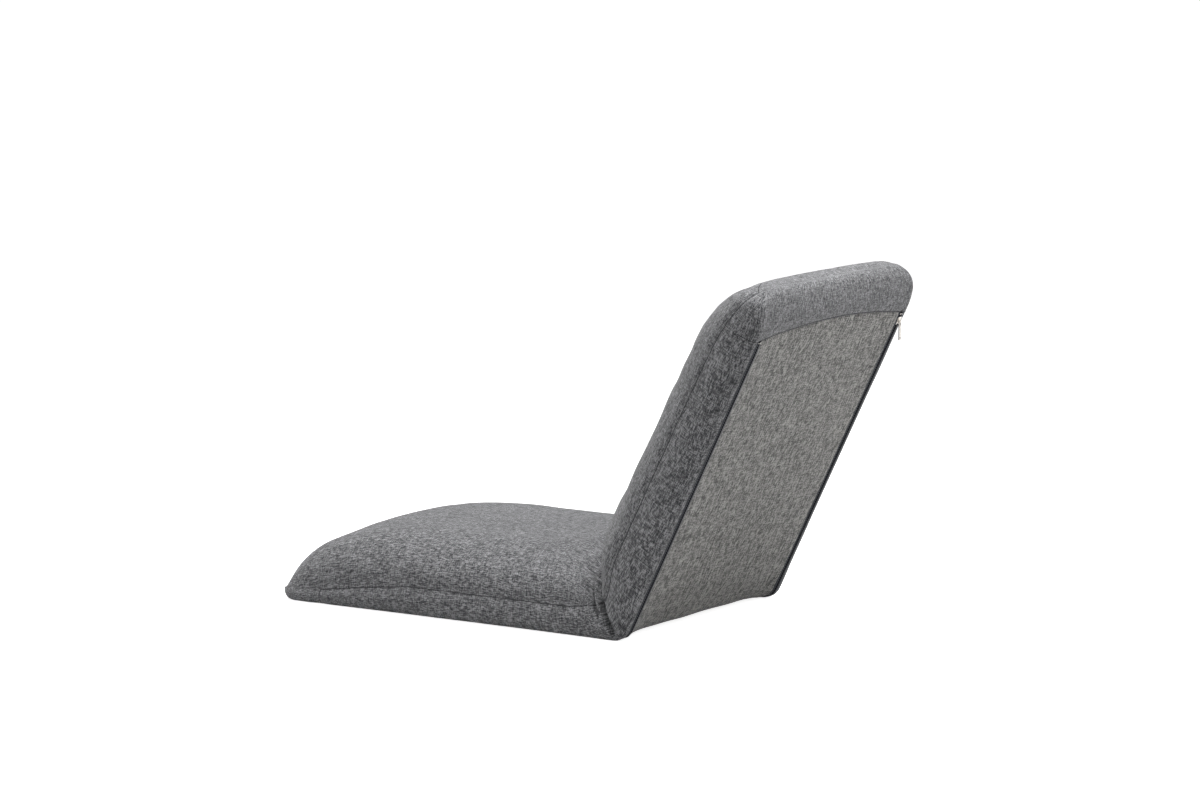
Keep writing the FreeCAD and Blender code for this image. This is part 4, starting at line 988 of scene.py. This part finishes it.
@dataclass(frozen=True)
class CoverForm:
    """Smooth form of the cover, as a grid of cross-sections from the nose to the top of the back."""

    fold: Fold
    crease: Crease = Crease()
    outline: Outline = Outline()
    zip_top: float = 0.462
    zip_front: float = 0.478
    dart: float = 0.495
    arch_lead: float = 0.001
    arch_rise: float = 0.015
    arch_reach: float = 0.055
    shear_reach: float = 0.220
    mean_reach: float = 0.075
    crease_zone: Pair = (0.025, 0.070)
    tuck_zone: Pair = (0.50, 0.95)
    round_share: float = 0.6
    corner_lift: float = 0.0060
    lift_power: int = 8
    lift_start: float = 0.004
    fold_steps: int = 46
    fold_zone: float = 0.050
    long_pitch: float = 0.0130
    tip_steps: int = 20
    tip_share: float = 0.9995

    @property
    def lines(self) -> LineLayout:
        """Lines round a cross-section."""
        return self.outline.lines

    @property
    def seat_rows(self) -> int:
        """Number of sections from the nose to the fold."""
        return len(self.stations(raised=False))

    @property
    def dart_row(self) -> int:
        """Index of the section with the darts at the seat's front corners."""
        return self.row(False, self.dart)

    @property
    def front_row(self) -> int:
        """Index of the section where the zip crosses under the seat."""
        return self.row(False, self.zip_front)

    @property
    def arch_row(self) -> int:
        """Index of the section with the arched seam at the top of the zip rows."""
        return self.row(True, self.zip_top)

    def row(self, raised: bool, distance: float) -> int:
        """Index of the section nearest to a distance from the fold."""
        place = int(np.argmin(np.abs(self.stations(raised) - distance)))
        return self.seat_rows - 1 + (place if raised else -place)

    def stations(self, raised: bool) -> np.ndarray:
        """Distances of the sections from the fold, closer together in the fold and over the tip.

        Args:
            raised: True for the back.

        Returns:
            Distances from 0 to the tip, with one at each cross seam and at the end of the zip rows.
        """
        shape = BACK_SHAPE if raised else SEAT_SHAPE
        fold = np.linspace(0.0, self.fold_zone, self.fold_steps + 1)
        count = round((shape.taper_start - self.fold_zone) / self.long_pitch)
        middle = np.linspace(self.fold_zone, shape.taper_start, count + 1)[1:]
        turn = np.linspace(0.0, math.pi / 2.0, self.tip_steps + 1)[1:]
        tip = shape.taper_start + (shape.length - shape.taper_start) * np.sin(turn) * self.tip_share
        places = np.concatenate([fold, middle, tip])
        kept = (self.zip_top,) if raised else (self.zip_front, self.dart)
        for value in kept:
            places[np.argmin(np.abs(places - value))] = value
        return places

    def half_grid(self, raised: bool) -> np.ndarray:
        """Points of the seat's or the back's half of the cover.

        Args:
            raised: True for the back.

        Returns:
            Array of points by section, from the fold to the tip, and by line round the section.
        """
        shape = BACK_SHAPE if raised else SEAT_SHAPE
        other = SEAT_SHAPE if raised else BACK_SHAPE
        rows = []
        for place in self.stations(raised):
            share = 0.5 * (1.0 - smoothstep(0.0, self.mean_reach, place))
            points = self.outline.loop(shape.section(place).mixed(other.section(0.0), share))
            across = points[:, 0]
            out = points[:, 1]
            along = place + self.shear(place) * (out - self.fold.height) / math.tan(self.fold.half_angle)
            if raised:
                on_rear = out < 0.5 * self.outline.hem_round + points[0, 1]
                along = along + self.arch(across, place) * on_rear
            rows.append(self.fold.world(raised, across, *self.round_corner(along, out)))
        return np.array(rows)

    def shear(self, place: float) -> float:
        """Share by which a section leans into the fold's middle plane."""
        return max(0.0, 1.0 - place / self.shear_reach) ** 2

    def arch(self, across: np.ndarray, place: float) -> np.ndarray:
        """Rise of the arched seam on the rear face, fading above and below it."""
        middle = np.clip(1.0 - (across / self.outline.zip_half) ** 2, 0.0, 1.0)
        fade = smoothstep(self.arch_reach, 0.0, abs(place - self.zip_top))
        return (self.arch_lead + self.arch_rise * middle) * fade

    def round_corner(self, along: np.ndarray, out: np.ndarray) -> tuple[np.ndarray, np.ndarray]:
        """Draw the outer corner of the fold in to an arc about the hinge axis.

        Args:
            along: Distances from the hinge axis.
            out: Heights above the flat face.

        Returns:
            The distances and heights, moved where they lie past the axis.
        """
        drop = self.fold.height - out
        reach = np.hypot(along, drop) + STRAIGHT
        share = smoothstep(0.0, self.round_share * self.fold.height, drop) * (along < 0.0) * (drop > 0.0)
        scale = 1.0 + share * (drop / reach - 1.0)
        return along * scale, self.fold.height - drop * scale

    def fold_cloth(self, grid: np.ndarray) -> np.ndarray:
        """Draw the cloth down into the crease and in at its sides.

        Args:
            grid: Points of the whole cover.

        Returns:
            The moved points.
        """
        offset, deep = self.fold.crease_place(grid)
        inner = smoothstep(*self.crease_zone, deep)
        moved = grid.copy()
        moved[..., 1:] -= (self.crease.dip(offset) * inner)[..., None] * self.fold.inward
        edge = smoothstep(*self.tuck_zone, np.abs(grid[..., 0]) / SEAT_SHAPE.half)
        moved[..., 0] -= np.sign(grid[..., 0]) * self.crease.side_tuck(offset, deep) * edge
        return self.lift_corner(moved)

    def lift_corner(self, points: np.ndarray) -> np.ndarray:
        """Draw the outer corner of the fold in between its two ends.

        Args:
            points: Points of the cover or of the foam in it.

        Returns:
            The moved points.
        """
        _, deep = self.fold.crease_place(points)
        middle = np.clip(1.0 - (points[..., 0] / self.outline.zip_half) ** self.lift_power, 0.0, 1.0)
        lift = self.corner_lift * middle * smoothstep(self.lift_start, -self.fold.height, deep)
        moved = points.copy()
        moved[..., 1:] += lift[..., None] * self.fold.inward
        return moved

    def grid(self) -> np.ndarray:
        """Points of the cover by section, from the nose to the top of the back, and by line."""
        seat = self.half_grid(raised=False)[::-1]
        back = self.half_grid(raised=True)
        seam = 0.5 * (seat[-1] + back[0])
        return self.fold_cloth(np.concatenate([seat[:-1], seam[None], back[1:]]))


@dataclass(frozen=True)
class Sewing:
    """Seams and zip grooves in the cover's form, and the ripple of its cloth."""

    form: CoverForm
    ripple: float = 0.0011
    ripple_size: float = 0.055
    still_half: float = 0.014
    zip_groove: float = 0.0010
    zip_groove_half: float = 0.0060
    under_groove: float = 0.0034
    front_groove: tuple[tuple[int, float], ...] = ((-1, 0.6), (0, 1.0), (1, 0.6))
    welt_rise: float = 0.0010
    welt_inset: float = 0.0105
    welt_half: float = 0.0030
    seam_groove: float = 0.0016
    ridge_back: int = 4
    ridge_lines: int = 8
    pinch_rows: int = 8
    corner_pinch: float = 0.0022
    pinch_reach: int = 2
    pinch_width: float = 1.6
    arch_tail: int = 4

    def past_zip(self, grid: np.ndarray) -> np.ndarray:
        """Distances of the grid's points outward past the zip rows."""
        return np.abs(grid[..., 0]) - self.form.outline.zip_half

    def zip_depth(self, grid: np.ndarray) -> np.ndarray:
        """Depths of the grooves that the zip lies in, less the welts beside them."""
        form = self.form
        depth = np.zeros(grid.shape[:2])
        rows = slice(form.front_row, form.arch_row + 1)
        under = slice(form.front_row, form.seat_rows)
        past = self.past_zip(grid)
        groove = gauss(past, self.zip_groove_half) * form.lines.within_hem
        welt = gauss(past + self.welt_inset, self.welt_half) * form.lines.within_hem
        depth[rows] += self.zip_groove * groove[rows] - self.welt_rise * welt[rows]
        depth[under] += (self.under_groove - self.zip_groove) * groove[under]
        return depth

    def seam_depth(self, grid: np.ndarray) -> np.ndarray:
        """Depths to which the cloth is drawn in along its seams."""
        form = self.form
        lines = form.lines
        depth = np.zeros(grid.shape[:2])
        end = -self.ridge_back
        for line in (lines.seam, lines.mirrored(lines.seam)):
            depth[form.dart_row:end, line] += self.seam_groove
            for step in range(-self.pinch_reach, self.pinch_reach + 1):
                pinch = self.corner_pinch * gauss(step, self.pinch_width)
                depth[end - self.pinch_rows:end, line + step] += pinch
        flat = lines.nearness <= lines.flat
        depth[form.arch_row, flat] += self.seam_groove
        for step, share in self.front_groove:
            depth[form.front_row + step, flat] += self.under_groove * share
        for side in lines.both_sides(lines.flat, lines.seam):
            depth[form.dart_row, side] += self.seam_groove
        return depth

    def wave(self, grid: np.ndarray) -> np.ndarray:
        """Slight ripple of the cloth, still along the zip rows."""
        heights = np.zeros(grid.shape[:2])
        for index in np.ndindex(heights.shape):
            heights[index] = noise.noise(Vector(grid[index]) / self.ripple_size)
        return heights * (1.0 - gauss(self.past_zip(grid), self.still_half) * self.form.lines.within_hem)

    def step(self, grid: np.ndarray) -> np.ndarray:
        """Moves of the grid's points that sink its seams and ripple its cloth."""
        along = np.gradient(grid, axis=0)
        around = (np.roll(grid, -1, axis=1) - np.roll(grid, 1, axis=1)) / 2.0
        outward = unit(np.cross(along, around))
        rise = self.ripple * self.wave(grid) - self.zip_depth(grid) - self.seam_depth(grid)
        return outward * rise[..., None]

    def paths(self, grid: np.ndarray) -> list[np.ndarray]:
        """Lines that the seams follow on the grid."""
        paths = []
        lines = self.form.lines
        dart = self.form.dart_row
        arch = self.form.arch_row
        top = len(grid) - 1 - self.ridge_back
        for ridge in lines.both_sides(lines.seam, lines.seam + self.ridge_lines - 1):
            paths.append(np.concatenate([grid[dart:top + 1, ridge[0]], grid[top, ridge[1:]]]))
        for side in lines.both_sides(lines.flat, lines.seam):
            paths.append(grid[dart, side])
            paths.append(grid[arch, side[:lines.hem + self.arch_tail]])
        paths.append(grid[arch, lines.across_flat[::-1]])
        return paths


@dataclass(frozen=True)
class ClothRun:
    """Short cloth simulation that blows the cover's panels up between the places that hold them."""

    form: CoverForm
    held_zone: float = 0.030
    held_deep: float = 0.075
    held_rows: int = 6
    pressure: float = 4.0
    bending: float = 0.6
    frames: int = 10
    cap: float = 0.004

    def held(self, grid: np.ndarray) -> np.ndarray:
        """Points of the grid that the frame, the seams or the crease hold in place."""
        lines = self.form.lines
        sewn = np.abs(lines.nearness - lines.seam) <= 1
        held = np.tile(sewn | (lines.nearness <= lines.flat + 1), (len(grid), 1))
        offset, deep = self.form.fold.crease_place(grid)
        held |= (np.abs(offset) < self.held_zone) & (deep < self.held_deep)
        held[:self.held_rows] = True
        held[-self.held_rows:] = True
        return held

    def step(self, grid: np.ndarray, faces: list) -> np.ndarray:
        """Moves of the grid's points in the simulation.

        Args:
            grid: Points of the sewn cover.
            faces: Its quads.

        Returns:
            The moves, none longer than the cap.
        """
        piece = mesh_object("cover_cloth_run", grid.reshape(-1, 3), faces)
        group = piece.vertex_groups.new(name="held")
        group.add(np.flatnonzero(self.held(grid).ravel()).tolist(), 1.0, "REPLACE")
        settings = piece.modifiers.new("cloth", "CLOTH").settings
        settings.vertex_group_mass = group.name
        settings.use_pressure = True
        settings.uniform_pressure_force = self.pressure
        settings.effector_weights.gravity = 0.0
        settings.bending_stiffness = self.bending
        scene = bpy.context.scene
        for number in range(1, self.frames + 1):
            scene.frame_set(number)
        result = piece.evaluated_get(bpy.context.evaluated_depsgraph_get()).data
        step = mesh_points(result).reshape(grid.shape) - grid
        size = np.linalg.norm(step, axis=2)[..., None]
        LOG.info("cloth run: largest move %.4f m, mean %.4f m", size.max(), size.mean())
        bpy.data.objects.remove(piece)
        scene.frame_set(1)
        return step * np.minimum(1.0, self.cap / (size + STRAIGHT))


@dataclass
class Cover:
    """Sewn cover over seat and back: the crowned cover, the flat panel and the thread in the seams,
    darkened to near-black as painted shade of the seam grooves.
    """

    fold: Fold
    cloth: float = 0.0012
    floor_gap: float = 0.0004
    bend_reach: float = 0.050
    usual_section: float = 0.300
    stitch: float = 0.004
    thread_radius: float = 0.0007
    thread_sink: float = 0.0002
    form: CoverForm = field(init=False)
    sewing: Sewing = field(init=False)
    grid: np.ndarray = field(init=False)
    tree: BVHTree = field(init=False)

    def __post_init__(self) -> None:
        """Work out the form of the cover before it is sewn."""
        self.form = CoverForm(self.fold)
        self.sewing = Sewing(self.form)
        self.grid = self.form.grid()

    def move(self, step: np.ndarray) -> None:
        """Move the grid's points, and keep them off the floor."""
        self.grid = self.grid + step
        self.grid[..., 2] = np.maximum(self.grid[..., 2], self.floor_gap)

    def faces(self) -> list[tuple[int, int, int, int]]:
        """Quads between neighbouring sections of the grid."""
        rows, lines = self.grid.shape[:2]
        quads = []
        for low in range(0, (rows - 1) * lines, lines):
            high = low + lines
            for line in range(lines):
                after = (line + 1) % lines
                quads.append((low + line, high + line, high + after, low + after))
        return quads

    def shell(self) -> bpy.types.Object:
        """Closed mesh of the whole cover, with cloth coordinates and flat and crowned faces told apart."""
        flat_rows = range(self.form.front_row, self.form.arch_row)
        piece = mesh_object("cover", self.grid.reshape(-1, 3), self.faces())
        for polygon in piece.data.polygons:
            row, strip = divmod(polygon.index, self.grid.shape[1])
            polygon.material_index = int(row in flat_rows and self.form.lines.on_flat(strip))
        self.lay_weave(piece)
        with edited(piece.data) as shape:
            rims = [edge for edge in shape.edges if edge.is_boundary]
            caps = bmesh.ops.holes_fill(shape, edges=rims, sides=0)["faces"]
            bmesh.ops.triangulate(shape, faces=caps)
            bmesh.ops.recalc_face_normals(shape, faces=shape.faces)
        return piece

    def lay_weave(self, piece: bpy.types.Object) -> None:
        """Give the cover cloth coordinates: distances across a usual section and along the chair."""
        rows, lines = self.grid.shape[:2]
        usual = self.grid[self.form.row(False, self.usual_section)]
        widths = np.linalg.norm(np.roll(usual, -1, axis=0) - usual, axis=1)
        around = np.concatenate([[0.0], np.cumsum(widths)])
        around -= around[self.form.lines.half_count]
        flat = np.append(usual[:, 0], usual[0, 0])
        lengths = np.linalg.norm(np.diff(self.grid, axis=0), axis=2).mean(axis=1)
        along = np.concatenate([[0.0], np.cumsum(lengths)])
        layer = piece.data.uv_layers.new(name="cloth")
        places = []
        for i in range(rows - 1):
            for j in range(lines):
                across = flat if self.form.lines.on_flat(j) else around
                for row, line in ((i, j), (i + 1, j), (i + 1, j + 1), (i, j + 1)):
                    places.extend((across[line], along[row]))
        layer.data.foreach_set("uv", places)

    def part(self, shell: bpy.types.Object, name: str, index: int) -> bpy.types.Object:
        """Piece of the cover made of the faces with one material index, with the cloth's thickness.

        Args:
            shell: The whole cover.
            name: Name of the new piece.
            index: Material index of its faces.

        Returns:
            The new piece.
        """
        piece = shell.copy()
        piece.data = shell.data.copy()
        piece.name = name
        piece.data.name = name
        bpy.context.scene.collection.objects.link(piece)
        with edited(piece.data) as shape:
            others = [face for face in shape.faces if face.material_index != index]
            bmesh.ops.delete(shape, geom=others, context="FACES")
            for face in shape.faces:
                face.material_index = 0
        thick = piece.modifiers.new("thickness", "SOLIDIFY")
        thick.thickness = self.cloth
        thick.offset = -1.0
        apply_modifiers(piece)
        return piece

    def build(self) -> list[bpy.types.Object]:
        """Make the crowned cover, the flat panel and the thread in their seams (near-black, as painted
        shade of the seam grooves), and give them back.
        """
        self.move(self.sewing.step(self.grid))
        self.move(ClothRun(self.form).step(self.grid, self.faces()))
        shell = self.shell()
        smooth = shell.modifiers.new("smooth", "SUBSURF")
        smooth.levels = 1
        smooth.render_levels = 1
        apply_modifiers(shell)
        self.tree = BVHTree.FromObject(shell, bpy.context.evaluated_depsgraph_get())
        crowned = self.part(shell, "crowned_cover", 0)
        flat = self.part(shell, "flat_cover", 1)
        bpy.data.objects.remove(shell)
        Finish.COVER.dress(crowned)
        Finish.REAR.dress(flat)
        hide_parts("seat_top_panel", "seat_side_panel_left", "seat_side_panel_right",
                    "back_front_panel", "back_side_panel_left", "back_side_panel_right", "crease_cloth")
        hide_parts("seat_underside_panel", "back_rear_panel", "corner_cloth")
        for piece in (crowned, flat):
            self.fold.blend(piece, self.bend_reach)
        return [crowned, flat, self.sew()]

    def on_surface(self, line: np.ndarray, sink: float) -> np.ndarray:
        """A line laid on the cover, sunk below its surface by a little."""
        laid = []
        for place in line:
            hit, normal, _, _ = self.tree.find_nearest(Vector(place))
            laid.append(np.array(hit - normal * sink))
        return np.array(laid)

    def sew(self) -> bpy.types.Object:
        """Thread down in the seams, darkened to near-black as painted shade of the seam grooves."""
        threads = MeshParts()
        for path in self.sewing.paths(self.grid):
            line = self.on_surface(spread_evenly(path, self.stitch), self.thread_sink)
            threads.add_tube(line, self.thread_radius)
        piece = threads.build("seam_thread")
        # Near-black finish on the thread: painted shade of the seam grooves.
        Finish.SEAM.dress(piece)
        self.fold.blend(piece, self.bend_reach)
        return piece


class ZipStep(NamedTuple):
    """One step along the zip: its place and the directions ahead, to the side and outward."""

    place: np.ndarray
    ahead: np.ndarray
    side: np.ndarray
    outward: np.ndarray


@dataclass
class Zip:
    """Closed coil zip down the rear, round the corner, under the seat and back up the other side."""

    cover: Cover
    tape_half: float = 0.0064
    tape_rise: float = 0.0008
    coil_half: float = 0.0028
    coil_rise: float = 0.0014
    tooth_half: float = 0.00055
    pitch: float = 0.0019
    corner_passes: int = 60
    tooth_lean: float = 0.18
    coil_sink: float = 0.4
    profile: tuple[Pair, ...] = ((-1.0, 1.7), (-0.5, 1.0), (0.5, 1.0), (1.0, 1.7),
                                 (0.9, -0.6), (-0.9, -0.6))

    def path(self) -> np.ndarray:
        """Middle line of the zip, from the top of the left row to the top of the right one."""
        form = self.cover.form
        grid = self.cover.grid
        rows = slice(form.front_row, form.arch_row + 1)
        left = grid[rows, form.lines.flat][::-1]
        across = grid[form.front_row, form.lines.across_flat]
        right = grid[rows, form.lines.mirrored(form.lines.flat)]
        whole = spread_evenly(np.concatenate([left, across[1:-1], right]), self.pitch)
        return rounded_line(whole, self.corner_passes)

    def steps(self) -> list[ZipStep]:
        """Steps along the zip, each laid on the cover."""
        line = self.path()
        steps = []
        for place, ahead in zip(line, unit(np.gradient(line, axis=0))):
            hit, normal, _, _ = self.cover.tree.find_nearest(Vector(place))
            normal = np.array(normal)
            outward = unit(normal - ahead * (normal @ ahead))
            steps.append(ZipStep(np.array(hit), ahead, np.cross(outward, ahead), outward))
        return steps

    def band(self, steps: list[ZipStep]) -> bpy.types.Object:
        """Tape along the steps, with its edges turned up."""
        points = []
        for step in steps:
            for across, rise in self.profile:
                shift = step.side * across * self.tape_half + step.outward * rise * self.tape_rise
                point = step.place + shift
                point[2] = max(point[2], self.cover.floor_gap)
                points.append(point)
        tape = MeshParts()
        tape.add_rings(points, len(self.profile), flipped=True)
        return tape.build("zip_tape")

    def teeth(self, steps: list[ZipStep]) -> bpy.types.Object:
        """Coil's teeth along the steps, leaning one way and the other in turn."""
        coil = MeshParts()
        half = (self.tooth_half, self.coil_half, 0.5 * self.coil_rise)
        lift = self.tape_rise + self.coil_sink * self.coil_rise
        for index, step in enumerate(steps):
            lean = self.tooth_lean if index % 2 else -self.tooth_lean
            slanted = unit(step.side + step.ahead * lean)
            axes = (np.cross(slanted, step.outward), slanted, step.outward)
            coil.add_block(step.place + step.outward * lift, axes, half)
        return coil.build("zip_coil")

    def build(self) -> list[bpy.types.Object]:
        """Make the tape and the coil's teeth, and give them back."""
        steps = self.steps()
        band = self.band(steps)
        teeth = self.teeth(steps)
        Finish.ZIP_TAPE.dress(band)
        Finish.ZIP_COIL.dress(teeth)
        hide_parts("seat_zip", "corner_zips")
        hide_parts("zip_left", "zip_right")
        for piece in (band, teeth):
            self.cover.fold.blend(piece, self.cover.bend_reach)
        return [band, teeth]


@dataclass
class FoamPads:
    """Foam layers inside the cover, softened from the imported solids."""

    cover: Cover
    voxel: float = 0.005
    passes: int = 6
    shrink: float = 0.0032
    carve_depth: float = 0.055
    carve_half: float = 0.026
    carve_tuck: float = 0.024
    carve_shift: float = -0.005
    carve_zone: Pair = (0.020, 0.065)
    edge_zone: Pair = (0.55, 0.95)
    tuck_zone: Pair = (-0.02, 0.01)
    top_start: float = 0.450
    top_share: float = 0.20
    layers: tuple[tuple[str, str | None], ...] = (
        ("seat_foam", "seat"),
        ("seat_base_pad", "seat"),
        ("back_foam", "back"),
        ("back_rear_pad", "back"),
        ("crease_foam", None),
    )

    def build(self) -> list[bpy.types.Object]:
        """Make each foam layer, set it on its body or put its placement into its mesh, and give it back."""
        pieces = []
        for node, body in self.layers:
            piece = self.soften(node)
            Finish.FOAM.dress(piece)
            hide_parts(node)
            if body:
                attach(piece, body)
            else:
                self.cover.fold.blend(piece, self.cover.bend_reach)
            pieces.append(piece)
        return pieces

    def soften(self, node: str) -> bpy.types.Object:
        """Copy of a packed foam solid with its edges worn soft."""
        piece = bpy.data.objects.new(node + "_soft", frame["nodes"][node].data.copy())
        bpy.context.scene.collection.objects.link(piece)
        with edited(piece.data) as shape:
            bmesh.ops.remove_doubles(shape, verts=shape.verts, dist=WELD)
        remesh = piece.modifiers.new("voxels", "REMESH")
        remesh.mode = "VOXEL"
        remesh.voxel_size = self.voxel
        soft = piece.modifiers.new("soft", "SMOOTH")
        soft.iterations = self.passes
        thin = piece.modifiers.new("thin", "DISPLACE")
        thin.mid_level = 0.0
        thin.strength = -self.shrink
        apply_modifiers(piece)
        self.carve(piece)
        piece.data.shade_smooth()
        return piece

    def carve(self, piece: bpy.types.Object) -> None:
        """Draw the foam back from the crease, and in where the back of the cover is thinner and shorter."""
        fold = self.cover.fold
        points = self.cover.form.lift_corner(mesh_points(piece.data))
        offset, deep = fold.crease_place(points)
        near = gauss(offset - self.carve_shift, self.carve_half)
        depth = self.carve_depth * near * smoothstep(*self.carve_zone, deep)
        points[:, 1:] -= depth[:, None] * fold.inward
        edge = smoothstep(*self.edge_zone, np.abs(points[:, 0]) / SEAT_SHAPE.half)
        tuck = self.carve_tuck * near * edge * smoothstep(*self.tuck_zone, deep)
        points[:, 0] -= np.sign(points[:, 0]) * tuck
        rise = points[:, 1:] - fold.axis
        distance = rise @ fold.along_back
        out = rise @ fold.out_of_back + fold.height
        points[:, 1:] -= ((1.0 - BACK_SHAPE.thinned(distance)) * out)[:, None] * fold.out_of_back
        past = np.maximum(distance - self.top_start, 0.0)
        points[:, 1:] -= (self.top_share * past)[:, None] * fold.along_back
        piece.data.vertices.foreach_set("co", points.ravel())
        piece.data.update()


@dataclass
class Hardware:
    """Frames, webbing and hinges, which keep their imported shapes."""

    finishes: dict[str, Finish] = field(default_factory=lambda: {
        "frame_rivets": Finish.HINGE,
        "frame": Finish.FRAME,
        "cross_bars": Finish.FRAME,
        "straps": Finish.WEBBING,
        "washers": Finish.WASHER,
        "zip": Finish.ZIP_METAL,
        "hinge": Finish.HINGE,
        "pin": Finish.HINGE,
        "pawl": Finish.HINGE,
        "ratchet": Finish.HINGE,
    })

    def build(self) -> list[bpy.types.Object]:
        """Give each node that still shows the finish its name calls for, and give the nodes back."""
        shown = {name: node for name, node in frame["nodes"].items() if not node.hide_render}
        for name, node in shown.items():
            finish = next(finish for word, finish in self.finishes.items() if word in name)
            finish.dress_node(node)
        return list(shown.values())


@dataclass(frozen=True)
class Lamp:
    """Soft square lamp that faces the chair."""

    name: str
    place: Triple
    size: float
    power: float
    aim: Triple = (0.0, 0.1, 0.2)

    def build(self) -> None:
        """Set up the lamp."""
        data = bpy.data.lights.new(self.name, "AREA")
        data.size = self.size
        data.energy = self.power
        lamp = bpy.data.objects.new(self.name, data)
        lamp.location = self.place
        toward = Vector(self.aim) - Vector(self.place)
        lamp.rotation_euler = toward.to_track_quat("-Z", "Y").to_euler()
        bpy.context.scene.collection.objects.link(lamp)


@dataclass(frozen=True)
class Studio:
    """Camera at the photograph's angle, pale floor and soft light."""

    target: Triple = (0.0, 0.112, 0.298)
    azimuth: float = 123.005
    elevation: float = 8.214
    roll: float = 0.189
    distance: float = 7.104
    lens: float = 149.97
    sensor: float = 36.0
    clip_end: float = 200.0
    ambient: float = 0.185
    floor_size: float = 60.0
    floor_lift: float = 0.90
    floor_color: Color = (0.62, 0.62, 0.62)
    lamps: tuple[Lamp, ...] = (
        Lamp("top_light", (0.0, 0.3, 2.6), 2.2, 98.0),
        Lamp("rear_light", (-0.4, 2.6, 2.1), 2.0, 37.0),
        Lamp("front_light", (0.4, -2.8, 1.6), 1.6, 12.0),
    )

    def camera(self) -> None:
        """Set up the camera."""
        turn, rise, roll = (math.radians(angle) for angle in (self.azimuth, self.elevation, self.roll))
        back = Vector((math.sin(turn) * math.cos(rise), -math.cos(turn) * math.cos(rise), math.sin(rise)))
        level = Vector((0.0, 0.0, 1.0)).cross(back).normalized()
        upright = back.cross(level)
        right = level * math.cos(roll) + upright * math.sin(roll)
        up = upright * math.cos(roll) - level * math.sin(roll)
        data = bpy.data.cameras.new("camera")
        data.lens = self.lens
        data.sensor_width = self.sensor
        data.clip_end = self.clip_end
        camera = bpy.data.objects.new("camera", data)
        stand = Matrix((right, up, back)).transposed().to_4x4()
        stand.translation = Vector(self.target) + back * self.distance
        camera.matrix_world = stand
        bpy.context.scene.collection.objects.link(camera)
        bpy.context.scene.camera = camera

    def seen_rays(self, tree: bpy.types.NodeTree) -> Socket:
        """1 for rays that come from the camera, straight or by a gloss or glass, and 0 for the rest."""
        path = tree.nodes.new("ShaderNodeLightPath")
        total = path.outputs["Is Camera Ray"]
        for name in ("Is Glossy Ray", "Is Transmission Ray"):
            add = tree.nodes.new("ShaderNodeMath")
            add.operation = "MAXIMUM"
            tree.links.new(total, add.inputs[0])
            tree.links.new(path.outputs[name], add.inputs[1])
            total = add.outputs[0]
        return total

    def world(self) -> None:
        """White background, and an even grey light from all round."""
        world = bpy.data.worlds.new("studio")
        bpy.context.scene.world = world
        world.use_nodes = True
        tree = world.node_tree
        even = tree.nodes["Background"]
        even.inputs["Color"].default_value = WHITE
        even.inputs["Strength"].default_value = self.ambient
        seen = tree.nodes.new("ShaderNodeBackground")
        seen.inputs["Color"].default_value = WHITE
        mix = tree.nodes.new("ShaderNodeMixShader")
        for socket, source in zip(mix.inputs, (self.seen_rays(tree), even.outputs[0], seen.outputs[0])):
            tree.links.new(source, socket)
        tree.links.new(mix.outputs[0], tree.nodes["World Output"].inputs["Surface"])

    def floor(self) -> None:
        """Pale floor that takes a soft shadow and is white to the camera elsewhere."""
        half = self.floor_size / 2.0
        corners = [(-half, -half, 0.0), (half, -half, 0.0), (half, half, 0.0), (-half, half, 0.0)]
        floor = mesh_object("floor", corners, [(0, 1, 2, 3)])
        make = NodeMaker("pale_floor")
        make.surface({
            "Base Color": (*self.floor_color, 1.0),
            "Roughness": 1.0,
            "Specular IOR Level": 0.0,
            "Emission Color": WHITE,
            "Emission Strength": make.scaled(self.seen_rays(make.tree), self.floor_lift),
        })
        floor.data.materials.append(make.material)

    def build(self) -> None:
        """Set up camera, floor and light."""
        bpy.context.scene.view_settings.view_transform = "Standard"
        self.camera()
        self.world()
        self.floor()
        for lamp in self.lamps:
            lamp.build()


def main() -> None:
    """Build the chair's looks in order and report each piece."""
    logging.basicConfig(level=logging.INFO, format="%(name)s: %(message)s")
    Studio().build()
    cover = Cover(Fold.from_frame())
    for assembly in (cover, Zip(cover), FoamPads(cover), Hardware()):
        for piece in assembly.build():
            finish = piece.material_slots[0].material.name
            LOG.info("%s: %d faces, %s", piece.name, len(piece.data.polygons), finish)


if __name__ == "__main__":
    main()
